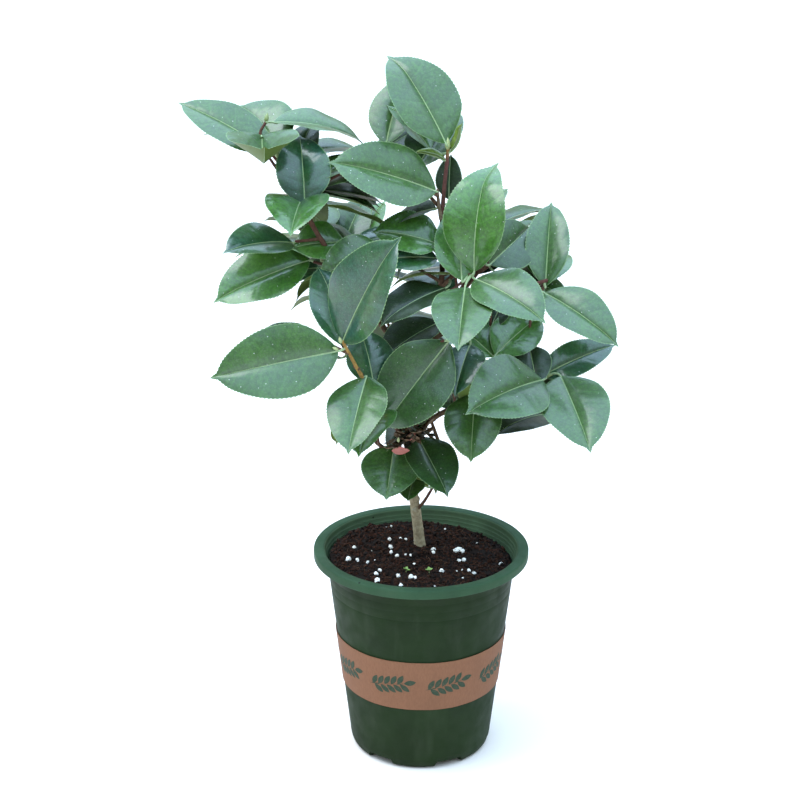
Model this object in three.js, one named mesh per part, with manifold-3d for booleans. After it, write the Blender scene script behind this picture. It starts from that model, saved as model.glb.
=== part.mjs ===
// A young camellia shrub, rooted in a one-gallon nursery pot.
// Millimetres, +Z up. The origin is the centre of the pot's flat underside, and -Y is the front.
import * as THREE from 'three';
import { mergeVertices } from 'three/addons/utils/BufferGeometryUtils.js';
import Module from 'manifold-3d';

const wasm = await Module();
wasm.setup();

// ---- Driving dimensions ----

const GAP = 0.3;                 // clearance between touching solids

const POT_HEIGHT = 169;          // underside to rim
const POT_SIDES = 42;            // facets round the pot, its band and its soil
const RIM_RADIUS = 85;           // outside of the rolled rim
const RIM_BORE = 76;             // inside edge of the rim
const RIM_DROP = 7;              // height of the rim's skirt
const SKIN = 1.5;                // wall thickness
const WALL_FOOT = 57;            // outside radius of the wall just above the rounded base
const WALL_TOP = 74.3;           // outside radius of the wall just under the rim's steps
const WALL_FOOT_Z = 12;
const WALL_TOP_Z = 158;
const FLOOR_Z = 4.5;             // underside of the floor between the feet
const FLOOR_TOP = 6.5;
const BOSS_RADIUS = 16;          // flat disc at the centre of the underside
const FOOT_BORE = 41;            // inside radius of the ring of feet
const FOOT_RADIUS = 50.5;        // where the ring's flat underside meets the rounded edge
const FOOT_COUNT = 6;
const FOOT_TURN = -96;           // degrees from +X to the middle of the front foot
const SLOT_WIDTH = 21;           // gap between two feet
const DRAIN_RADIUS = 4;
const DRAIN_CIRCLE = 35;         // circle that the drain holes stand on
const RIM_STEPS = 3;             // moulded steps between the rim and the wall

const BAND_LOW = 57;             // the paper band wrapped round the wall
const BAND_HIGH = 100;
const BAND_THICKNESS = 0.5;

const SOIL_TOP = 160;

const LIMB_SIDES = 8;
const LIMB_STEP = 17;            // length of limb to each ring of facets
const FLARE = 0.4;               // how much wider the trunk is at the soil
const FLARE_HEIGHT = 7;

const LOBE_SPREAD = 36;          // degrees from a lobe's tip to its flank
const MASS_DETAIL = 2;           // subdivisions of the icosahedron that each mass starts from

// ---- Colours ----

const LEAF_GREEN = '#2f5a38';
const finishes = {
  pot: { color: '#37583f', roughness: 0.55, metalness: 0 },
  band: { color: '#b08a76', roughness: 0.85, metalness: 0 },
  soil: { color: '#2e1f1a', roughness: 1, metalness: 0 },
  bark: { color: '#8a8069', roughness: 0.9, metalness: 0 },
  foliage: { color: LEAF_GREEN, roughness: 0.45, metalness: 0 },
};

// ---- Limbs: each is one taper along a smooth curve, from its fork outwards ----
// into names the mass of foliage that the limb ends in.

const limbs = [
  { name: 'trunk', foot: 4.1, tip: 3.5,
    path: [[2, 24, 150], [1, 23, 164], [-4, 20, 190], [-8, 15, 225], [-7, 9, 260]] },
  { name: 'leader', foot: 3.1, tip: 1.6, into: 'foliage_top',
    path: [[-7, 9, 258], [1, 7, 300], [9, 5, 345], [15, 2, 390], [15, 0, 440], [19, 3, 488]] },
  { name: 'bough_left', foot: 2.5, tip: 1.4, into: 'foliage_upper_left',
    path: [[0, 7, 296], [-22, 2, 338], [-50, -8, 382], [-80, -12, 430], [-96, -8, 466], [-118, 0, 492]] },
  { name: 'bough_front_left', foot: 2.3, tip: 1.4, into: 'foliage_front_left',
    path: [[-7, 13, 240], [-14, -12, 264], [-25, -38, 292], [-42, -60, 326], [-58, -74, 362]] },
  { name: 'bough_lower_left', foot: 2, tip: 1.3, into: 'foliage_lower_left',
    path: [[-8, 15, 226], [-24, 2, 246], [-36, -20, 266], [-42, -45, 292]] },
  { name: 'bough_lower_right', foot: 2.4, tip: 1.4, into: 'foliage_lower_right',
    path: [[-6, 8, 262], [16, -4, 282], [48, -16, 300], [92, -22, 318]] },
  { name: 'bough_right', foot: 2.3, tip: 1.4, into: 'foliage_right',
    path: [[8, 5, 338], [34, -4, 360], [66, -4, 378], [102, 0, 396]] },
  { name: 'bough_upper_right', foot: 1.9, tip: 1.3, into: 'foliage_upper_right',
    path: [[14, 3, 380], [26, -5, 396], [38, -8, 424]] },
  { name: 'bough_centre', foot: 1.9, tip: 1.3, into: 'foliage_centre',
    path: [[3, 7, 312], [6, -14, 324], [4, -42, 346]] },
  { name: 'bough_back_left', foot: 2.3, tip: 1.4, into: 'foliage_back_left',
    path: [[3, 6, 316], [-20, 34, 342], [-58, 74, 386]] },
  { name: 'bough_back_right', foot: 2.3, tip: 1.4, into: 'foliage_back_right',
    path: [[10, 5, 350], [32, 36, 368], [64, 74, 398]] },
  { name: 'bough_back_low', foot: 2.2, tip: 1.4, into: 'foliage_back_low',
    path: [[-7, 11, 250], [-2, 42, 268], [4, 76, 300]] },
];

// ---- Foliage: each mass is a rounded body with lobes drawn out to the tips of its leaves ----
// centre; body = its three half sizes; lobes = [heading, rise, reach], degrees and millimetres.

const masses = [
  { name: 'foliage_top', centre: [0, 8, 494], body: [31, 34, 26],
    lobes: [[145, 62, 66], [152, 20, 54], [20, 58, 48], [-48, 8, 36], [75, 20, 54]] },
  { name: 'foliage_upper_left', centre: [-124, 0, 494], body: [32, 27, 15],
    lobes: [[180, 26, 60], [156, 44, 38], [70, 20, 42], [-87, -24, 38], [20, 18, 44]] },
  { name: 'foliage_middle_left', centre: [-38, -4, 466], body: [34, 30, 19],
    lobes: [[-150, 16, 50], [162, 26, 84], [95, 5, 48], [-70, -30, 38]] },
  { name: 'foliage_left', centre: [-94, -12, 432], body: [31, 32, 30],
    lobes: [[70, 74, 62], [160, -30, 60], [-160, -43, 78], [-43, 10, 42], [95, 5, 54]] },
  { name: 'foliage_front_left', centre: [-66, -74, 362], body: [38, 27, 28],
    lobes: [[-25, 58, 92], [-164, -12, 94], [127, 34, 48], [178, 10, 66], [-33, 0, 44]] },
  { name: 'foliage_lower_left', centre: [-42, -48, 290], body: [32, 30, 36],
    lobes: [[-121, -34, 44], [50, -72, 68], [40, 40, 42], [-60, 0, 40]] },
  { name: 'foliage_centre', centre: [6, -46, 340], body: [36, 27, 40],
    lobes: [[-125, -50, 66], [-62, 20, 52], [-20, -40, 54]] },
  { name: 'foliage_middle', centre: [2, -12, 402], body: [37, 26, 33],
    lobes: [[-160, 20, 48], [10, -20, 42], [100, 30, 40]] },
  { name: 'foliage_upper_right', centre: [43, -8, 428], body: [29, 27, 34],
    lobes: [[40, 68, 54], [152, 50, 42], [-22, 24, 36], [-80, -30, 40]] },
  { name: 'foliage_right', centre: [96, 0, 386], body: [27, 30, 28],
    lobes: [[105, 70, 60], [-28, -42, 74], [-120, -8, 56], [75, 0, 54]] },
  { name: 'foliage_lower_right', centre: [86, -26, 314], body: [40, 36, 28],
    lobes: [[14, 20, 70], [-58, -38, 70], [-20, -24, 56], [-155, -14, 66], [-160, -52, 72], [70, -10, 60]] },
  { name: 'foliage_low', centre: [0, -4, 240], body: [31, 30, 18],
    lobes: [[-42, -18, 50], [160, -44, 50], [60, -24, 56], [100, 8, 48]] },
  { name: 'foliage_back_left', centre: [-60, 78, 392], body: [40, 38, 36],
    lobes: [[145, 12, 72], [100, -24, 78], [180, -30, 66], [60, 48, 62], [120, 60, 58]] },
  { name: 'foliage_back_right', centre: [62, 76, 398], body: [38, 38, 34],
    lobes: [[35, 4, 72], [85, -22, 78], [0, -34, 62], [100, 50, 60]] },
  { name: 'foliage_back_low', centre: [6, 80, 306], body: [42, 36, 30],
    lobes: [[155, -16, 78], [95, -30, 74], [30, -14, 76], [75, 36, 60]] },
];

// ---- Solids from meshes, and back ----

function toSolid(geometry) {
  const bare = geometry.clone();
  bare.deleteAttribute('normal');
  bare.deleteAttribute('uv');
  const merged = mergeVertices(bare, 1e-4);
  return new wasm.Manifold(new wasm.Mesh({
    numProp: 3,
    vertProperties: new Float32Array(merged.attributes.position.array),
    triVerts: new Uint32Array(merged.index.array),
  }));
}

function toGeometry(solid) {
  const mesh = solid.getMesh();
  const geometry = new THREE.BufferGeometry();
  geometry.setAttribute('position', new THREE.BufferAttribute(mesh.vertProperties, 3));
  geometry.setIndex(new THREE.BufferAttribute(mesh.triVerts, 1));
  geometry.computeVertexNormals();
  return geometry;
}

// The body of a cut solid that holds the point nearest to the given place.
function bodyNearest(solid, place) {
  const distance = (body) => {
    const { vertProperties } = body.getMesh();
    let nearest = Infinity;
    for (let i = 0; i < vertProperties.length; i += 3) {
      nearest = Math.min(nearest, place.distanceTo(new THREE.Vector3().fromArray(vertProperties, i)));
    }
    return nearest;
  };
  return solid.decompose().sort((a, b) => distance(a) - distance(b))[0];
}

function largestBody(solid) {
  return solid.decompose().sort((a, b) => b.volume() - a.volume())[0];
}

// A turned solid: the profile is [radius, height] pairs and is turned about +Z.
function turned(profile) {
  const points = profile.map(([radius, height]) => new THREE.Vector2(radius, height));
  return new THREE.LatheGeometry(points, POT_SIDES).rotateX(Math.PI / 2);
}

// ---- Pot, band and soil ----

const taper = (WALL_TOP - WALL_FOOT) / (WALL_TOP_Z - WALL_FOOT_Z);
const wallRadius = (z) => WALL_FOOT + taper * (z - WALL_FOOT_Z);

// The moulded steps that widen the wall out to the rim, from the wall upwards.
function rimSteps(wall, bore) {
  const top = POT_HEIGHT - 1;
  const rise = (top - WALL_TOP_Z) / RIM_STEPS;
  const run = (bore - wall) / RIM_STEPS;
  const steps = [];
  for (let i = 0; i < RIM_STEPS; i += 1) {
    steps.push([wall + run * i, WALL_TOP_Z + rise * i]);
    steps.push([wall + run * i, WALL_TOP_Z + rise * (i + 0.7)]);
  }
  return [...steps, [bore, top]];
}

function potSolid() {
  const skirtLow = POT_HEIGHT - RIM_DROP;
  const skirtBore = RIM_RADIUS - SKIN;
  const underRim = POT_HEIGHT - SKIN;
  const outerSteps = rimSteps(WALL_TOP, RIM_BORE + SKIN).filter(([, z]) => z < underRim - 1);
  const innerSteps = rimSteps(WALL_TOP - SKIN, RIM_BORE).reverse();
  const profile = [
    [0, 0], [BOSS_RADIUS, 0], [BOSS_RADIUS, FLOOR_Z],
    [FOOT_BORE, FLOOR_Z], [FOOT_BORE, 0], [FOOT_RADIUS, 0],
    [53.2, 0.9], [55.2, 3.2], [56.4, 7], [WALL_FOOT, WALL_FOOT_Z],
    ...outerSteps,
    [RIM_BORE + SKIN, underRim], [skirtBore, underRim], [skirtBore, skirtLow],
    [RIM_RADIUS - 0.4, skirtLow], [RIM_RADIUS, skirtLow + 0.6], [RIM_RADIUS, POT_HEIGHT - 1.4],
    [RIM_RADIUS - 1.4, POT_HEIGHT], [RIM_BORE + 1, POT_HEIGHT],
    ...innerSteps,
    [WALL_FOOT - SKIN, WALL_FOOT_Z], [WALL_FOOT - SKIN - 3, FLOOR_TOP + 0.8],
    [WALL_FOOT - SKIN - 5, FLOOR_TOP], [0, FLOOR_TOP],
  ];
  let solid = toSolid(turned(profile));
  const slotLength = RIM_RADIUS - FOOT_BORE + 2;
  for (let i = 0; i < FOOT_COUNT; i += 1) {
    const heading = THREE.MathUtils.degToRad(FOOT_TURN + (360 / FOOT_COUNT) * (i + 0.5));
    const slot = new THREE.BoxGeometry(slotLength, SLOT_WIDTH, FLOOR_Z * 2)
      .translate(FOOT_BORE - 1 + slotLength / 2, 0, 0)
      .rotateZ(heading);
    const drain = new THREE.CylinderGeometry(DRAIN_RADIUS, DRAIN_RADIUS, FLOOR_TOP * 3, 12)
      .rotateX(Math.PI / 2)
      .translate(DRAIN_CIRCLE, 0, 0)
      .rotateZ(heading);
    solid = solid.subtract(toSolid(slot)).subtract(toSolid(drain));
  }
  return solid;
}

function bandSolid() {
  const inner = (z) => wallRadius(z) + GAP;
  const outer = (z) => inner(z) + BAND_THICKNESS;
  return toSolid(turned([
    [inner(BAND_LOW), BAND_LOW], [outer(BAND_LOW), BAND_LOW],
    [outer(BAND_HIGH), BAND_HIGH], [inner(BAND_HIGH), BAND_HIGH], [inner(BAND_LOW), BAND_LOW],
  ]));
}

function soilSolid() {
  const inside = (z) => wallRadius(z) - SKIN - GAP;
  return toSolid(turned([
    [0, FLOOR_TOP + GAP], [WALL_FOOT - SKIN - 5.5, FLOOR_TOP + GAP],
    [WALL_FOOT - SKIN - 3.5, FLOOR_TOP + 1.2], [inside(WALL_FOOT_Z + 1), WALL_FOOT_Z + 1],
    [inside(WALL_TOP_Z), WALL_TOP_Z], [inside(WALL_TOP_Z), SOIL_TOP], [0, SOIL_TOP],
  ]));
}

// ---- Limbs ----

// A capped cylinder, bent along the limb's curve. extra makes the fatter, longer form that cuts its neighbours.
function limbSolid({ name, foot, tip, path }, extra = 0) {
  const curve = new THREE.CatmullRomCurve3(path.map((p) => new THREE.Vector3(...p)), false, 'centripetal');
  const length = curve.getLength();
  const rings = Math.max(3, Math.round(length / LIMB_STEP));
  const frames = curve.computeFrenetFrames(rings, false);
  const geometry = new THREE.CylinderGeometry(1, 1, 1, LIMB_SIDES, rings);
  const position = geometry.attributes.position;
  for (let i = 0; i < position.count; i += 1) {
    const along = position.getY(i) + 0.5;
    const ring = Math.round(along * rings);
    const aboveSoil = path[0][2] + along * length - SOIL_TOP;
    const flare = name === 'trunk' ? 1 + FLARE * Math.exp(-Math.max(0, aboveSoil) / FLARE_HEIGHT) : 1;
    const radius = THREE.MathUtils.lerp(foot, tip, along) * flare + extra;
    const overrun = ring === 0 ? -extra : extra * Math.max(0, ring + 1 - rings);
    const point = curve.getPointAt(ring / rings)
      .addScaledVector(frames.tangents[ring], overrun)
      .addScaledVector(frames.normals[ring], position.getX(i) * radius)
      .addScaledVector(frames.binormals[ring], position.getZ(i) * radius);
    position.setXYZ(i, point.x, point.y, point.z);
  }
  const solid = toSolid(geometry);
  return solid.volume() > 0 ? solid : toSolid(flipped(geometry));
}

function flipped(geometry) {
  const index = geometry.index.array;
  for (let i = 0; i < index.length; i += 3) {
    [index[i], index[i + 1]] = [index[i + 1], index[i]];
  }
  return geometry;
}

// ---- Foliage ----

// A direction from its heading (degrees from +X towards +Y) and its rise above the level.
function direction(heading, rise) {
  return new THREE.Vector3().setFromSphericalCoords(
    1, THREE.MathUtils.degToRad(90 - rise), THREE.MathUtils.degToRad(90 + heading),
  ).applyAxisAngle(new THREE.Vector3(1, 0, 0), Math.PI / 2);
}

// Low waves that keep a mass uneven.
const ripple = (v, phase) => Math.sin(5 * v.x + phase) * Math.sin(4 * v.y - phase) * Math.cos(5 * v.z + 2 * phase);

function massSolid({ centre, body, lobes }, phase, extra = 0) {
  const tips = lobes.map(([heading, rise, reach]) => ({ way: direction(heading, rise), reach }));
  const geometry = mergeVertices(
    new THREE.IcosahedronGeometry(1, MASS_DETAIL).deleteAttribute('normal').deleteAttribute('uv'), 1e-4,
  );
  const position = geometry.attributes.position;
  const ways = Array.from({ length: position.count }, (_, i) => (
    new THREE.Vector3().fromBufferAttribute(position, i).normalize()
  ));
  // The vertex nearest to each lobe's tip is turned onto it, so that the lobe ends in a point.
  for (const { way } of tips) {
    ways.reduce((best, other) => (other.angleTo(way) < best.angleTo(way) ? other : best)).copy(way);
  }
  ways.forEach((way, i) => {
    const rounded = 1 / Math.hypot(way.x / body[0], way.y / body[1], way.z / body[2]);
    let reach = rounded * (1 + 0.12 * ripple(way, phase));
    for (const tip of tips) {
      const off = THREE.MathUtils.radToDeg(way.angleTo(tip.way)) / LOBE_SPREAD;
      reach = Math.max(reach, THREE.MathUtils.lerp(rounded, tip.reach, Math.max(0, 1 - off * off)));
    }
    position.setXYZ(i, ...way.clone().multiplyScalar(reach + extra).add(new THREE.Vector3(...centre)).toArray());
  });
  return toSolid(geometry);
}

// ---- Assembly ----

const soilTrim = toSolid(
  new THREE.CylinderGeometry(WALL_TOP, WALL_TOP, 40, POT_SIDES).rotateX(Math.PI / 2)
    .translate(0, 0, SOIL_TOP + GAP - 20),
);

// Masses give way to the limbs that pass through them and to the masses before them.
const massSolids = new Map();
masses.forEach((mass, i) => {
  let solid = massSolid(mass, i);
  for (const limb of limbs.filter(({ into }) => into !== mass.name)) {
    solid = solid.subtract(limbSolid(limb, GAP));
  }
  masses.slice(0, i).forEach((other, j) => {
    solid = solid.subtract(massSolid(other, j, 2 * GAP));
  });
  massSolids.set(mass.name, largestBody(solid));
});

// Limbs are cut where they leave an older limb and where they enter their own mass.
const limbSolids = new Map();
limbs.forEach((limb, i) => {
  let solid = limbSolid(limb);
  for (const older of limbs.slice(0, i)) {
    solid = solid.subtract(limbSolid(older, GAP));
  }
  if (limb.name === 'trunk') {
    solid = solid.subtract(soilTrim);
  }
  const own = masses.findIndex(({ name }) => name === limb.into);
  if (own >= 0) {
    solid = solid.subtract(massSolid(masses[own], own, GAP));
  }
  limbSolids.set(limb.name, bodyNearest(solid, new THREE.Vector3(...limb.path[limb.name === 'trunk' ? 1 : 0])));
});

const plantInPot = new THREE.Group();

function add(name, solid, finish) {
  const mesh = new THREE.Mesh(toGeometry(solid), new THREE.MeshStandardMaterial(finishes[finish]));
  mesh.name = name;
  plantInPot.add(mesh);
}

add('pot', potSolid(), 'pot');
add('band', bandSolid(), 'band');
add('soil', soilSolid(), 'soil');
limbSolids.forEach((solid, name) => add(name, solid, 'bark'));
massSolids.forEach((solid, name) => add(name, solid, 'foliage'));

export default plantInPot;
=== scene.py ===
"""A young camellia shrub in a nursery pot: bark, twigs, leaves, buds, soil, paper band and pot."""
import math
from collections import namedtuple

import bpy
import numpy as np
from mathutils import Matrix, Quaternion, Vector
from mathutils.bvhtree import BVHTree


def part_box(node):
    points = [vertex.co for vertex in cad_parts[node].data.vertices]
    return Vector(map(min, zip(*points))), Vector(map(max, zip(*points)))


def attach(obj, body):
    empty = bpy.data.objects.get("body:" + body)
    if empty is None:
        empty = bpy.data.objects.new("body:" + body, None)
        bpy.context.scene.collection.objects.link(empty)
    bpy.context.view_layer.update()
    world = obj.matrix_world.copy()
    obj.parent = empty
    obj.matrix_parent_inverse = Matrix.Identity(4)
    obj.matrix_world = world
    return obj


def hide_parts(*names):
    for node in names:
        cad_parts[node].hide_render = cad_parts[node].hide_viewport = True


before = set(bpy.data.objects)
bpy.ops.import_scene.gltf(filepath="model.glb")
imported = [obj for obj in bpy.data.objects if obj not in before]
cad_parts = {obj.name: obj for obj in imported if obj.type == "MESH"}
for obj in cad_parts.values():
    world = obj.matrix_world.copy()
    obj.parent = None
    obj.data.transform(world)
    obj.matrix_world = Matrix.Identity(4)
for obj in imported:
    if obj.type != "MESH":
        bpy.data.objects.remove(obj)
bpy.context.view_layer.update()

# Lengths are millimetres until a mesh is built; +Z up, -Y the front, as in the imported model.
MM = 0.001
TURN = 2 * math.pi

# ---- Pot, band and soil: the same sizes as the CAD ----

POT_HEIGHT = 169
RIM_RADIUS = 85
RIM_BORE = 76
RIM_DROP = 7
SKIN = 1.5
WALL_FOOT = 57
WALL_TOP = 74.3
WALL_FOOT_Z = 12
WALL_TOP_Z = 158
FLOOR_Z = 4.5
FLOOR_TOP = 6.5
BOSS_RADIUS = 16
FOOT_BORE = 41
FOOT_COUNT = 6
FOOT_TURN = -96
FOOT_MIDDLE = 50           # radius at which the slots between the feet have their width
SLOT_WIDTH = 21
SLOT_TOP = 6               # height of the slots at the outside of the wall
DRAIN_RADIUS = 4
DRAIN_CIRCLE = 35
BAND_LOW = 57
BAND_HIGH = 100
BAND_GAP = 0.3
BAND_THICKNESS = 0.5
INK_THICKNESS = 0.1
SOIL_TOP = 160
SOIL_RADIUS = 72
SOIL_TILT = -0.055         # the soil lies higher on the left

# ---- Limbs: foot and tip radius and route, as in the CAD; age runs from 0, old bark, to 1, new wood ----

Limb = namedtuple("Limb", "foot tip age route")
LIMBS = {
    "trunk": Limb(4.1, 3.5, (0, 0.2), [
        (0, 24, 150), (-1, 23, 164), (-4, 20, 190), (-8, 15, 225), (-7, 9, 260)]),
    "leader": Limb(3.1, 1.25, (0.2, 1), [
        (-7, 9, 258), (1, 7, 300), (9, 5, 345), (15, 2, 390), (15, 0, 440), (19, 3, 488)]),
    "bough_left": Limb(2.5, 1.4, (0.4, 0.95), [
        (0, 7, 296), (-22, 2, 338), (-50, -8, 382), (-80, -12, 430), (-96, -8, 466), (-118, 0, 492)]),
    "bough_front_left": Limb(2.3, 1.1, (0.35, 1.6), [
        (-7, 13, 240), (-14, -12, 264), (-25, -38, 292), (-42, -60, 326), (-58, -74, 362)]),
    "bough_lower_left": Limb(2, 1.3, (0.4, 0.9), [
        (-8, 15, 226), (-24, 2, 246), (-36, -20, 266), (-42, -45, 292)]),
    "bough_lower_right": Limb(2.4, 1.4, (0.4, 0.9), [
        (-6, 8, 262), (16, -4, 282), (48, -16, 300), (92, -22, 318)]),
    "bough_right": Limb(2.3, 1.4, (0.4, 0.9), [(8, 5, 338), (34, -4, 360), (66, -4, 378), (94, -1, 387)]),
    "bough_upper_right": Limb(1.9, 1.3, (0.5, 1), [(14, 3, 380), (26, -5, 396), (38, -8, 424)]),
    "bough_centre": Limb(1.9, 1.3, (0.4, 0.9), [(3, 7, 312), (6, -14, 324), (4, -42, 346)]),
    "bough_back_left": Limb(2.3, 1.4, (0.4, 0.9), [(3, 6, 316), (-20, 34, 342), (-58, 74, 386)]),
    "bough_back_right": Limb(2.3, 1.4, (0.4, 0.9), [(10, 5, 350), (32, 36, 368), (64, 74, 398)]),
    "bough_back_low": Limb(2.2, 1.4, (0.35, 0.9), [(-7, 11, 250), (-2, 42, 268), (4, 76, 300)]),
}
BARK_STEP = 1.2            # length of limb to each ring of points
BARK_SIDES = 28
TRUNK_SIDES = 42
NODE_GAP = 15              # about the length of limb from each low knot to the next
FLARE = 0.15               # how much wider the trunk is at the soil
FLARE_HEIGHT = 7

# ---- Twigs that the front shows: radius at the foot, route, and ages of foot and tip if unusual ----

TWIGS = [
    (1.7, [(14, -1, 434), (12, -2, 447), (11, -3, 457)], (0.32, 0.45)),
    (1.3, [(-84, -12, 434), (-88, -10, 446), (-88, -8, 454)]),
    (1.4, [(-56, -9, 392), (-64, -10, 404), (-72, -10, 416)]),
    (1.3, [(-46, -66, 338), (-50, -64, 340), (-44, -60, 332)]),
    (1.4, [(15, 1, 400), (26, -12, 398), (36, -26, 398)]),
    (1.4, [(74, -3, 381), (84, -4, 379), (90, -2, 378)]),
    (1.4, [(-14, 14, 238), (-12, 2, 250), (-12, -4, 258)]),
    (1.3, [(36, -12, 292), (40, -20, 298), (36, -24, 305)]),
    (1.4, [(36, -13, 293), (48, -18, 315), (54, -20, 332)]),
    (1.3, [(14, 2, 385), (-4, -10, 399), (-24, -22, 413)]),
    (1.4, [(15, 0, 440), (-2, 10, 458), (-26, 18, 482)]),
    (1.3, [(-74, -11, 422), (-86, -13, 421), (-94, -12, 420)]),
    (1.3, [(-64, -10, 402), (-74, -13, 403), (-81, -14, 405)]),
    (1.3, [(15, 2, 390), (34, 2, 396), (48, 0, 399)]),
    (1.2, [(33, -4, 359), (36, -12, 353), (36, -18, 345)]),
    (1.2, [(50, -4, 369), (52, -1, 360), (52, 0, 351)]),
    (1.3, [(76, -3, 382), (82, 1, 362), (81, -3, 340)]),
    (1.3, [(3, -40, 344), (9, -43, 350), (16, -44, 353)]),
    (1.3, [(-118, 0, 491), (-119, 1, 499), (-115, 3, 506)]),
]

# ---- Buds at the tips of limbs: place, way, length and slot of the bud materials ----

TIP_BUDS = [
    ((18.5, 2, 486), (0, 0, 1), 9, 1),
    ((-59, -75, 361), (-0.2, -0.4, 1), 6, 1),
    ((-61, -75, 356), (-1, -0.3, 0.5), 5, 1),
    ((92, -22, 318), (1, -0.1, 0.3), 8, 0),
    ((38, -8, 424), (0.3, 0, 1), 8, 0),
    ((4, -42, 346), (0, -0.6, 1), 7, 0),
    ((-42, -45, 292), (-0.2, -0.7, 1), 7, 0),
    ((-58, 74, 386), (-0.6, 0.6, 1), 8, 0),
    ((64, 74, 398), (0.6, 0.7, 1), 8, 0),
    ((4, 76, 300), (0, 0.9, 1), 8, 0),
    ((-115, 3, 506), (0.2, 0.1, 1), 7, 0),
]

# ---- Leaves that the front shows, by the mass they belong to ----
# base; heading (degrees from +X towards +Y) and rise of the blade; length; width; roll about the midrib;
# arch of the midrib, as a share of the length; slope of the two halves; tone; curl, how far the tip
# bends down, as a share of the length.

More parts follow.
